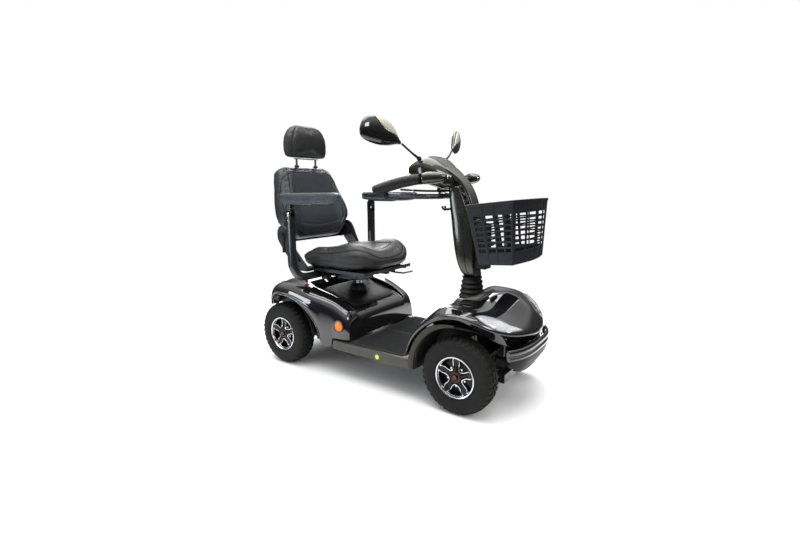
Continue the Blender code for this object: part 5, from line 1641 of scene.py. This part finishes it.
def build_console():
    """The domed head, the spine below it with its struts, the hand pods, dash plate and gauge."""
    stations = [
        (0.377, 1.006, 1.034, 0.084), (0.3758, 1.0, 1.04, 0.09), (0.37, 0.992, 1.049, 0.096),
        (0.356, 0.984, 1.06, 0.102), (0.335, 0.974, 1.072, 0.11), (0.305, 0.96, 1.0815, 0.118),
        (0.28, 0.95, 1.083, 0.12), (0.255, 0.94, 1.076, 0.115), (0.23, 0.934, 1.061, 0.106),
        (0.208, 0.931, 1.042, 0.088), (0.19, 0.931, 1.026, 0.07), (0.175, 0.934, 1.013, 0.056),
        (0.16, 0.938, 1.001, 0.046),
    ]
    bm = bmesh.new()
    rings = []
    for y, low, high, half in stations:
        middle, deep = (low + high) / 2, (high - low) / 2
        ring = []
        for a in turns(32, 0.5):
            s = math.sin(a)
            x_power, z_power = (0.66, 0.8) if s > 0 else (0.6, 0.62)
            ring.append(at(bent(math.cos(a), x_power) * half, y, middle + bent(s, z_power) * deep))
        rings.append(ring)
    add_loft(bm, rings)
    new_object("console_head", bm, "olive", "tiller", levels=2, replaces=["console"])

    spine = [(0.205, 1.036, 0.068), (0.178, 1.015, 0.054), (0.15, 0.994, 0.045),
             (0.126, 0.972, 0.041), (0.104, 0.944, 0.039), (0.086, 0.912, 0.038), (0.072, 0.878, 0.037),
             (0.063, 0.844, 0.036), (0.0585, 0.812, 0.036), (0.057, 0.79, 0.036)]
    bm = bmesh.new()
    rings = []
    for i, (y, z, half) in enumerate(spine):
        before, after = spine[max(i - 1, 0)], spine[min(i + 1, len(spine) - 1)]
        along = Vector((0, after[0] - before[0], after[1] - before[1])).normalized()
        inward = Vector((0, -along.z, along.y))
        if inward.y < 0:
            inward = -inward
        ring = []
        for x, d in ((-1.0, 0.006), (-0.97, 0.001), (-0.8, -0.0005), (0.8, -0.0005), (0.97, 0.001),
                     (1.0, 0.006), (1.0, 0.012), (0.96, 0.0165), (0.7, 0.0165), (0.66, 0.01),
                     (-0.66, 0.01), (-0.7, 0.0165), (-0.96, 0.0165), (-1.0, 0.012)):
            ring.append(at(x * half, y, z) + inward * d)
        rings.append(ring)
    add_loft(bm, rings)
    new_object("console_spine", bm, "olive", "tiller", levels=1)

    bm = bmesh.new()
    for side in (-1, 1):
        strut = [at(side * 0.026, 0.148, 0.93), at(side * 0.028, 0.128, 0.915),
                 at(side * 0.029, 0.106, 0.903), at(side * 0.029, 0.092, 0.896)]
        add_tube(bm, strut, [0.0075, 0.006, 0.006, 0.0075], 16, flat=0.8)
        arm = [(0.04, 0.215, 0.962), (0.08, 0.207, 0.968), (0.12, 0.2, 0.973), (0.165, 0.19, 0.977)]
        add_tube(bm, [at(side * x, y, z) for x, y, z in arm], [0.022, 0.02, 0.0185, 0.0175], 20, flat=0.85)
    new_object("console_struts", bm, "olive", "tiller", levels=1)

    for word, side in SIDES.items():
        path = [(0.149, 0.133, 0.981, 0.004), (0.1495, 0.134, 0.981, 0.0105),
                (0.152, 0.138, 0.981, 0.016), (0.157, 0.147, 0.981, 0.0205),
                (0.166, 0.164, 0.9805, 0.025), (0.177, 0.184, 0.98, 0.0275),
                (0.188, 0.205, 0.9785, 0.028), (0.197, 0.224, 0.976, 0.0265),
                (0.2008, 0.233, 0.9748, 0.0245)]
        bm = bmesh.new()
        add_tube(bm, [at(side * x, y, z) for x, y, z, _ in path], [r for *_, r in path], 28, flat=0.94,
                 power=0.86)
        new_object(f"hand_pod_{word}", bm, "olive", "tiller", levels=1)
        bm = bmesh.new()
        add_lathe(bm, [(0.0, 0.0), (0.0, 0.0062), (0.003, 0.0058), (0.0042, 0.0036), (0.0042, 0.0)],
                  at(side * 0.1495, 0.1336, 0.981), (-side * 0.4, -0.92, 0), 20)
        new_object(f"pod_cap_{word}", bm, "chrome", "tiller")

    bm = bmesh.new()
    rings = []
    for inset, y in ((0.0, 0.3756), (0.002, 0.3786), (0.006, 0.3792), (0.012, 0.3778)):
        rings.append([at(bent(math.cos(a), 0.3) * (0.08 - inset), y,
                         DASH_Z + bent(math.sin(a), 0.5) * (0.0135 - 0.5 * inset)) for a in turns(32, 0.5)])
    add_loft(bm, rings)
    new_object("dash_plate", bm, "matte", "tiller", angle=50)

    bm = bmesh.new()
    rings = []
    for inset, lift in ((0.0, -0.001), (0.0, 0.0022), (0.003, 0.0034), (0.006, 0.002)):
        ring = []
        for a in turns(28):
            x = bent(math.cos(a), 0.6) * (0.036 - inset)
            t = bent(math.sin(a), 0.6) * (0.0125 - inset)
            ring.append(at(x, 0.349 + t * 0.86, 1.0655 - t * 0.5) + Vector((0, 0.5, 0.86)) * lift)
        rings.append(ring)
    add_loft(bm, rings)
    new_object("charge_gauge", bm, "gauge", "tiller", angle=50)


def build_bars():
    """The ribbed grips, their collars, the loop's ends and the thumb paddles."""
    for word, side in SIDES.items():
        path = curve([at(side * 0.201, 0.24, 0.974), at(side * 0.212, 0.262, 0.971),
                      at(side * 0.236, 0.315, 0.96),
                      at(side * 0.262, 0.37, 0.943), at(side * 0.28, 0.41, 0.929),
                      at(side * 0.288, 0.4275, 0.9225)], 8)
        radii = []
        for i in range(len(path)):
            t = i / (len(path) - 1)
            r = lookup([(0.0, 0.0215), (0.15, 0.0232), (0.5, 0.0242), (0.8, 0.0236), (0.92, 0.021),
                        (0.975, 0.0165), (1.0, 0.011)], t)
            rib = 0.0007 if 0.12 < t < 0.86 and i % 2 else 0.0
            radii.append(r - rib)
        bm = bmesh.new()
        add_tube(bm, path, radii, 32)
        new_object(f"grip_ribbed_{word}", bm, "grip", "tiller", replaces=[f"grip_{word}"], angle=60)
        bm = bmesh.new()
        start = at(side * 0.2008, 0.2335, 0.9748)
        add_tube(bm, [start, start.lerp(path[0], 0.45), path[0] + (path[1] - path[0]) * 0.4],
                 [0.0238, 0.0215, 0.0238], 28)
        new_object(f"grip_collar_{word}", bm, "matte", "tiller")
        bm = bmesh.new()
        end = at(side * 0.2455, 0.392, 0.906)
        along = Vector((side * 0.045, 0.04, 0.004)).normalized()
        add_lathe(bm, [(-0.012, 0.0125), (-0.012, 0.015), (0.0, 0.0152), (0.0035, 0.012),
                       (0.005, 0.0)], end, along, 24)
        upright = [end - along * 0.006, at(side * 0.25, 0.392, 0.918), at(side * 0.2565, 0.372, 0.932)]
        add_tube(bm, upright, [0.0085, 0.008, 0.0085], 16)
        new_object(f"loop_end_{word}", bm, "matte", "tiller", angle=50)

    half = [(0.0, 0.222, 0.9225), (0.05, 0.228, 0.9225), (0.11, 0.268, 0.9235), (0.15, 0.305, 0.926)]
    bm = bmesh.new()
    points = [at(-x, y, z) for x, y, z in reversed(half[1:])] + [at(x, y, z) for x, y, z in half]
    add_tube(bm, curve(points, 6), 0.0048, 14)
    for side in (-1, 1):
        blade = curve([at(side * 0.14, 0.296, 0.9253), at(side * 0.158, 0.318, 0.9272),
                       at(side * 0.176, 0.34, 0.9292), at(side * 0.187, 0.3525, 0.93)], 4)
        count = len(blade)
        radii = [0.0055 + 0.006 * min(1.0, 2.2 * i / count) for i in range(count)]
        radii[-1] -= 0.0045
        add_tube(bm, blade, radii, 20, flat=0.42, hint=Vector((0, 0, 1)))
    new_object("throttle_paddles", bm, "matte", "throttle_lever", replaces=["throttle_lever"], angle=50)


def build_controls():
    """The knurled speed dial, the horn button and the key."""
    bm = bmesh.new()
    rings = []
    for depth, grow in ((0.0001, 0.97), (0.0015, 1.0), (0.0082, 0.92), (0.0102, 0.84), (0.0112, 0.55),
                        (0.0112, 0.05)):
        ring = []
        for i, a in enumerate(turns(72)):
            r = (0.0138 - (0.0005 if i % 3 == 0 else 0.0)) * grow
            ring.append(at(r * math.cos(a), 0.3766 + depth, DASH_Z + r * math.sin(a)))
        rings.append(ring)
    add_loft(bm, rings)
    add_box(bm, at(-0.0007, 0.3875, 1.0235), at(0.0007, 0.3882, 1.0315), mat=1)
    new_object("speed_dial_knob", bm, ["matte", "white"], "speed_dial", replaces=["speed_dial"],
               angle=40)
    bm = bmesh.new()
    add_lathe(bm, [(0.0, 0.0), (0.0, 0.0078), (0.004, 0.0078), (0.0052, 0.0064), (0.0058, 0.0)],
              at(0.055, 0.3812, DASH_Z), (0, 1, 0), 28)
    new_object("horn_button_cap", bm, "red", "horn_button", replaces=["horn_button"])
    bm = bmesh.new()
    add_lathe(bm, [(0.0, 0.008), (0.0046, 0.008), (0.0056, 0.0068), (0.004, 0.0058), (0.0, 0.0058)],
              at(-0.055, 0.3768, DASH_Z), (0, 1, 0), 28, close=True)
    bow = [(0.3805, 1.0175), (0.39, 1.0175), (0.3925, 1.012), (0.399, 1.0095), (0.4055, 1.0125),
           (0.408, 1.02), (0.4055, 1.0275), (0.399, 1.0305), (0.3925, 1.028), (0.39, 1.0225),
           (0.3805, 1.0225)]
    add_loft(bm, [[at(x, y, z) for y, z in bow] for x in (-0.0562, -0.0538)])
    new_object("key_blade", bm, "chrome", "key", replaces=["key"], bevel=0.0004)


# A mirror head from its stem to its tip: the share of its length, half height, depth and rise
MIRROR = [
    (0.03, 0.0075, 0.0075, 0.0), (0.08, 0.01, 0.009, 0.001), (0.14, 0.0165, 0.011, 0.003),
    (0.2, 0.027, 0.014, 0.005), (0.28, 0.0385, 0.0175, 0.008), (0.38, 0.049, 0.0205, 0.01),
    (0.5, 0.056, 0.022, 0.01), (0.62, 0.0585, 0.0225, 0.009), (0.74, 0.0575, 0.0215, 0.006),
    (0.84, 0.053, 0.0195, 0.003), (0.92, 0.045, 0.016, 0.0), (0.97, 0.033, 0.0115, -0.002),
    (0.998, 0.013, 0.0055, -0.002),
]


def mirror_size(t):
    """A mirror head's half height, depth and rise at a share of its length."""
    return [lookup([(row[0], row[k]) for row in MIRROR], t) for k in (1, 2, 3)]


def build_mirrors():
    """Slim stems and teardrop heads: a pale sheet on the shell that is a painted reflection, silvered glass
    towards the rider.
    """
    for word, side in SIDES.items():
        root, elbow, ball = at(side * 0.112, 0.3, 1.0655), at(side * 0.17, 0.306,
                                                                1.092), at(side * 0.222, 0.318, 1.124)
        bm = bmesh.new()
        add_tube(bm, curve([root, elbow, ball], 8), [0.0062 - 0.0018 * min(1, i / 8) for i in range(17)], 14)
        add_lathe(bm, [(-0.004, 0.0115), (0.003, 0.011), (0.007, 0.008), (0.012, 0.0065)], root,
                  elbow - root, 20)
        new_object(f"mirror_stem_round_{word}", bm, "matte", "tiller",
                   replaces=[f"mirror_stem_{word}"])
        tip = at(side * 0.415, 0.387, 1.19)
        along = (tip - ball).normalized()
        face = Vector((-side * 0.33, 0.94, 0.0))
        face = (face - along * face.dot(along)).normalized()
        up = along.cross(face)
        up = -up if up.z < 0 else up
        length = (tip - ball).length
        def head(t, angle, lift=0.0):
            """A point of the mirror's shell; angle 0 is up and pi/2 is away from the rider."""
            half, deep, rise = mirror_size(t)
            c, s = math.cos(angle), math.sin(angle)
            out = -deep * s if s > 0 else -0.42 * deep * s
            point = ball + along * (length * t) + up * (rise + half * c) + face * out
            normal = (up * (c / half) - face * (s / max(deep, 0.004))).normalized()
            return point + normal * lift

        bm = bmesh.new()
        rings = [[head(row[0], a) for a in turns(32)] for row in MIRROR]
        add_loft(bm, rings)
        new_object(f"mirror_shell_{word}", bm, "gloss_black", f"mirror_{word}", levels=1,
                   replaces=[f"mirror_head_{word}"])

        # The pale sheet along the top of the shell is a painted reflection of the glass seen at a grazing
        # angle
        bm = bmesh.new()
        rows = []
        for i in range(21):
            u = i / 20
            t = 0.1 + 0.7 * u
            open_to = math.sin(math.pi * u) ** 0.7
            top = 0.22 + 0.16 * (1 - u)
            low = top + 0.6 * open_to
            rows.append([head(t, math.pi * (top + (low - top) * k / 6) / 2, 0.0024) for k in range(7)])
        add_grid(bm, rows)
        bmesh.ops.remove_doubles(bm, verts=bm.verts, dist=2e-4)
        reflection_sheet = new_object(f"mirror_painted_reflection_{word}", bm, "pearl", f"mirror_{word}")
        solidify(reflection_sheet, 0.0012)

        bm = bmesh.new()
        ring = []
        for a in turns(40):
            t = 0.56 + 0.37 * math.cos(a)
            half, _, rise = mirror_size(t)
            ring.append(ball + along * (length * t) + up * (rise + half * 0.88 * bent(math.sin(a), 0.9))
                        + face * 0.0088)
        rings = [ring]
        centre = sum(ring, Vector()) / len(ring)
        for shrink, lift in ((1.0, 0.0016), (0.975, 0.0026), (0.94, 0.0026), (0.93, 0.0018)):
            rings.append([centre + (p - centre) * shrink + face * lift for p in ring])
        rows = add_loft(bm, rings, caps=False)
        bm.faces.new(rows[-1]).material_index = 1
        new_object(f"mirror_glass_{word}", bm, ["gloss_black", "mirror"], f"mirror_{word}",
                   angle=30)


# ------------------------------------------------------------------- basket


# The basket's outline at its floor and at its rim: half widths and reach, then heights
BASKET_LOW = {"back_y": -0.034, "front_y": -0.182, "back_z": 0.622, "front_z": 0.634,
              "back_half": 0.176, "front_half": 0.181}
BASKET_HIGH = {"back_y": 0.019, "front_y": -0.186, "back_z": 0.866, "front_z": 0.888,
               "back_half": 0.2, "front_half": 0.206}
BASKET_BOW = 0.024


def basket_path(level, s):
    """A point of the basket's wall: s runs 0 to 4 round its right side, front, left side and back."""
    g = {key: low + (BASKET_HIGH[key] - low) * level for key, low in BASKET_LOW.items()}
    run = g["front_y"] - g["back_y"]
    if s <= 1 or 2 < s <= 3:
        hand, t = (-1, s) if s <= 1 else (1, 3 - s)
        x, y = hand * (g["back_half"] + (g["front_half"] - g["back_half"]) * t), g["back_y"] + run * t
    elif s <= 2:
        x, y = -g["front_half"] * (1 - 2 * (s - 1)), g["front_y"] - BASKET_BOW * math.sin(math.pi * (s - 1))
    else:
        x, y = g["back_half"] * (1 - 2 * (s - 3)), g["back_y"]
    return at(x, y, g["back_z"] + (g["front_z"] - g["back_z"]) * (y - g["back_y"]) / run)


def build_basket():
    """The slotted tub with solid bands, vertical ribs, a rolled rim and a ribbed floor."""
    side_cuts = [0.0, 0.03, 0.11, 0.29, 0.36, 0.57, 0.6, 0.78, 0.82, 0.95, 0.98, 1.0]
    side_holes = [(0.11, 0.29), (0.36, 0.57), (0.6, 0.78), (0.82, 0.95)]
    front_cuts = [0.0, 0.02, 0.05, 0.24, 0.275, 0.38, 0.48, 0.52, 0.62, 0.725, 0.76, 0.95,
                  0.98, 1.0]
    front_holes = [(0.05, 0.24), (0.275, 0.48), (0.52, 0.725), (0.76, 0.95)]
    back_cuts = [0.0, 0.03, 0.12, 0.25, 0.4, 0.6, 0.75, 0.88, 0.97]
    back_holes = [(0.12, 0.25), (0.4, 0.6), (0.75, 0.88)]
    values = side_cuts[:-1] + [1 + s for s in front_cuts[:-1]] + [3 - s for s in reversed(side_cuts[1:])]
    values += [3 + s for s in back_cuts]
    slot_rows, first, last = 7, 0.19, 0.815
    pitch = (last - first) / slot_rows
    levels, open_rows = [0.0, 0.012, 0.045, 0.1, 0.165], []
    for r in range(slot_rows):
        low = first + r * pitch
        levels += [low + 0.16 * pitch, low + 0.84 * pitch]
        open_rows.append((low + 0.16 * pitch, low + 0.84 * pitch))
    levels += [0.83, 0.88, 0.94, 0.985, 1.0]

    def is_hole(level_mid, s_mid):
        if not any(a < level_mid < b for a, b in open_rows):
            return False
        share, holes = ((s_mid, side_holes), (s_mid - 1, front_holes), (3 - s_mid, side_holes),
                        (s_mid - 3, back_holes))[int(s_mid)]
        return any(a < share < b for a, b in holes)

    bm = bmesh.new()
    verts = [[bm.verts.new(basket_path(level, s)) for s in values] for level in levels]
    count = len(values)
    for i in range(len(levels) - 1):
        for j in range(count):
            k = (j + 1) % count
            s_mid = (values[j] + values[k]) / 2 if k else (values[j] + 4.0) / 2
            if is_hole((levels[i] + levels[i + 1]) / 2, s_mid):
                continue
            bm.faces.new((verts[i][j], verts[i][k], verts[i + 1][k], verts[i + 1][j]))
    tub = new_object("basket_slotted", bm, "basket", "basket", replaces=["basket"], smooth=False)
    solidify(tub, 0.0034, -1.0)
    bevel_edges(tub, 0.0011, 2, 40)
    tub.data.shade_smooth()

    bm = bmesh.new()
    fine = [i / 24 for i in range(96)]
    loop = [basket_path(1.0, s) for s in fine]
    rings = []
    for point, along in along_loop(loop):
        out = along.cross(Vector((0, 0, 1))).normalized()
        if out.dot(point - at(0, -0.08, point.z)) < 0:
            out = -out
        rings.append([point + out * a + Vector((0, 0, b)) for a, b in
                      ((0.0012, -0.01), (0.003, -0.004), (0.0026, 0.0008), (0.0, 0.0022),
                       (-0.0038, 0.001), (-0.0042, -0.005), (-0.003, -0.01))])
    add_loft(bm, rings, close=True)
    new_object("basket_rim", bm, "basket", "basket", angle=50)

    bm = bmesh.new()
    low = [basket_path(0.0, s) for s in fine]
    top = [p + (at(0, -0.08, p.z) - p).normalized() * 0.004 + Vector((0, 0, 0.004)) for p in low]
    base = [p + (at(0, -0.08, p.z) - p).normalized() * 0.003 + Vector((0, 0, 0.0008)) for p in low]
    add_loft(bm, [base, top])
    for i in range(-4, 5):
        x = 0.038 * i
        add_box(bm, at(x - 0.002, -0.176, 0.63), at(x + 0.002, -0.042, 0.6345))
    new_object("basket_floor", bm, "basket", "basket", angle=30)

    bm = bmesh.new()
    for side in (-1, 1):
        for s in (0.325, 0.585):
            line = [basket_path(v, s if side < 0 else 3 - s) for v in (0.02, 0.18, 0.5, 0.83, 0.98)]
            out = Vector((side, 0, 0))
            rings = [[p + out * a + Vector((0, b, 0)) for a,
                      b in ((-0.001, -0.0035), (0.0014, -0.0026), (0.0014, 0.0026),
                            (-0.001, 0.0035))] for p in line]
            add_loft(bm, rings)
    for t in (0.258, 0.5, 0.742):
        line = [basket_path(v, 1 + t) for v in (0.02, 0.18, 0.5, 0.83, 0.98)]
        rings = [[p + Vector((b, a, 0)) for a, b in ((0.001, -0.0035), (-0.0014, -0.0026),
                                                     (-0.0014, 0.0026), (0.001, 0.0035))] for p in line]
        add_loft(bm, rings)
    new_object("basket_ribs", bm, "basket", "basket", angle=30)

    bm = bmesh.new()
    for side in (-1, 1):
        bends = ((0.19, 0.84), (0.205, 0.84), (0.222, 0.836), (0.232, 0.842), (0.236, 0.852))
        hook = curve([at(side * 0.012, y, z) for y, z in bends], 5)
        add_tube(bm, hook, 0.0046, 12)
    add_tube(bm, [at(0, 0.182, 0.84), at(0, 0.192, 0.84)], 0.017, 20, flat=0.6)
    new_object("bag_hook", bm, "matte", "tiller", angle=50)


# ------------------------------------------------------------- inner parts


def dress_inner_parts():
    """Materials for the frame, drive, batteries and steering."""
    give("steel", "chassis_frame", "tie_rod", "front_knuckle_right", "front_knuckle_left")
    give("drive", "transaxle")
    give("battery", "battery_pack")


# -------------------------------------------------------------------- stage


def build_stage():
    """A pale floor in front of a white backdrop, soft lights from above, and the camera."""
    world = bpy.data.worlds.new("studio")
    bpy.context.scene.world = world
    world.use_nodes = True
    nodes, links = world.node_tree.nodes, world.node_tree.links
    background = nodes["Background"]
    split = nodes.new("ShaderNodeSeparateXYZ")
    links.new(nodes.new("ShaderNodeTexCoord").outputs["Generated"], split.inputs["Vector"])
    ramp = nodes.new("ShaderNodeValToRGB")
    ramp.color_ramp.interpolation = "EASE"
    rise = nodes.new("ShaderNodeMapRange")
    rise.inputs["From Min"].default_value = -1.0
    rise.inputs["From Max"].default_value = 1.0
    links.new(split.outputs["Z"], rise.inputs["Value"])
    links.new(rise.outputs["Result"], ramp.inputs["Fac"])
    stops = ramp.color_ramp.elements
    stops[0].position, stops[0].color = 0.46, (0.045, 0.045, 0.045, 1.0)
    stops[1].position, stops[1].color = 0.86, (1.0, 1.0, 1.0, 1.0)
    middle = stops.new(0.6)
    middle.color = (0.125, 0.125, 0.13, 1.0)
    links.new(ramp.outputs["Color"], background.inputs["Color"])
    background.inputs["Strength"].default_value = 1.15

    def stage_mesh(name, rows, cap):
        bm = bmesh.new()
        verts = add_loft(bm, rows, caps=False)
        if cap:
            bm.faces.new(verts[0])
        obj = link_mesh(name, bm)
        mat = bpy.data.materials.new(name)
        mat.use_nodes = True
        obj.data.materials.append(mat)
        return obj, mat

    def level_ring(radius, z):
        return [Vector((radius * math.cos(a), radius * math.sin(a), z)) for a in turns(64)]

    _, mat = stage_mesh("studio_floor", [level_ring(r, -0.0008) for r in (0.02, 0.6, 1.2, 1.8, 2.4,
                                                                          3.0)], True)
    nodes, links = mat.node_tree.nodes, mat.node_tree.links
    shader = nodes["Principled BSDF"]
    shader.inputs["Base Color"].default_value = (0.93, 0.93, 0.93, 1.0)
    shader.inputs["Roughness"].default_value = 0.8
    shader.inputs["Specular IOR Level"].default_value = 0.1
    clear = nodes.new("ShaderNodeBsdfTransparent")
    mix = nodes.new("ShaderNodeMixShader")
    place = nodes.new("ShaderNodeTexCoord")
    length = nodes.new("ShaderNodeVectorMath")
    length.operation = "LENGTH"
    fade = nodes.new("ShaderNodeMapRange")
    fade.interpolation_type = "SMOOTHSTEP"
    fade.inputs["From Min"].default_value = 1.0
    fade.inputs["From Max"].default_value = 2.8
    links.new(place.outputs["Object"], length.inputs[0])
    links.new(length.outputs["Value"], fade.inputs["Value"])
    links.new(fade.outputs["Result"], mix.inputs["Fac"])
    links.new(shader.outputs["BSDF"], mix.inputs[1])
    links.new(clear.outputs["BSDF"], mix.inputs[2])
    links.new(mix.outputs["Shader"], nodes["Material Output"].inputs["Surface"])

    rows = [level_ring(30.0 * math.cos(a), 30.0 * math.sin(a)) for a in
            (math.radians(-88 + 8.8 * i) for i in range(21))]
    dome, mat = stage_mesh("studio_backdrop", rows, False)
    nodes, links = mat.node_tree.nodes, mat.node_tree.links
    glow = nodes.new("ShaderNodeEmission")
    glow.inputs["Color"].default_value = (1.0, 1.0, 1.0, 1.0)
    glow.inputs["Strength"].default_value = 1.0
    links.new(glow.outputs["Emission"], nodes["Material Output"].inputs["Surface"])
    dome.visible_diffuse = False
    dome.visible_glossy = False
    dome.visible_transmission = False
    dome.visible_volume_scatter = False
    dome.visible_shadow = False

    lights = [
        ("overhead", (0.0, 0.2, 4.0), (0, 0, 0), (4.2, 4.2), 210, (1.0, 1.0, 1.0)),
        ("key_front", (-1.6, -4.2, 2.9), (0, 0, 0.5), (1.6, 1.2), 60, (1.0, 0.99, 0.97)),
        ("side_blue", (-3.6, 2.9, 0.95), (0, 0.4, 0.7), (1.1, 1.7), 46, (0.86, 0.93, 1.0)),
        ("back_strip", (3.2, 2.6, 2.6), (0, 0, 0.6), (1.2, 2.6), 60, (1.0, 1.0, 1.0)),
    ]
    for name, spot, target, size, power, colour in lights:
        data = bpy.data.lights.new(name, "AREA")
        data.shape = "RECTANGLE"
        data.size, data.size_y = size
        data.energy = power
        data.color = colour
        lamp = bpy.data.objects.new(name, data)
        bpy.context.scene.collection.objects.link(lamp)
        lamp.location = spot
        lamp.rotation_euler = (Vector(target) - Vector(spot)).to_track_quat("-Z", "Y").to_euler()

    # The camera that the photograph's viewing angle and spread ask for
    azimuth, pitch, roll = math.radians(-54.69), math.radians(9.98), math.radians(-0.297)
    back = Vector((math.sin(azimuth) * math.cos(pitch), -math.cos(azimuth) * math.cos(pitch),
                   math.sin(pitch)))
    right = (-back).cross(Vector((0, 0, 1))).normalized()
    up = right.cross(-back)
    across = right * math.cos(roll) + up * math.sin(roll)
    upward = -right * math.sin(roll) + up * math.cos(roll)
    data = bpy.data.cameras.new("camera")
    data.lens = 20.45
    data.sensor_width = 36.0
    data.sensor_fit = "HORIZONTAL"
    camera = bpy.data.objects.new("camera", data)
    bpy.context.scene.collection.objects.link(camera)
    rotation = Matrix((across, upward, back)).transposed().to_4x4()
    camera.matrix_world = Matrix.Translation((-1.874, -1.3215, 0.939)) @ rotation
    bpy.context.scene.camera = camera
    bpy.context.scene.view_settings.view_transform = "Standard"


build_stage()
build_floor()
build_hood()
build_headlights()
build_front_bumper()
build_wheels()
build_rear_body()
build_seat_hardware()
build_arms()
build_column()
build_console()
build_bars()
build_controls()
build_mirrors()
build_basket()
dress_inner_parts()
build_seat_cushion()
build_back_cushion()
build_headrest()
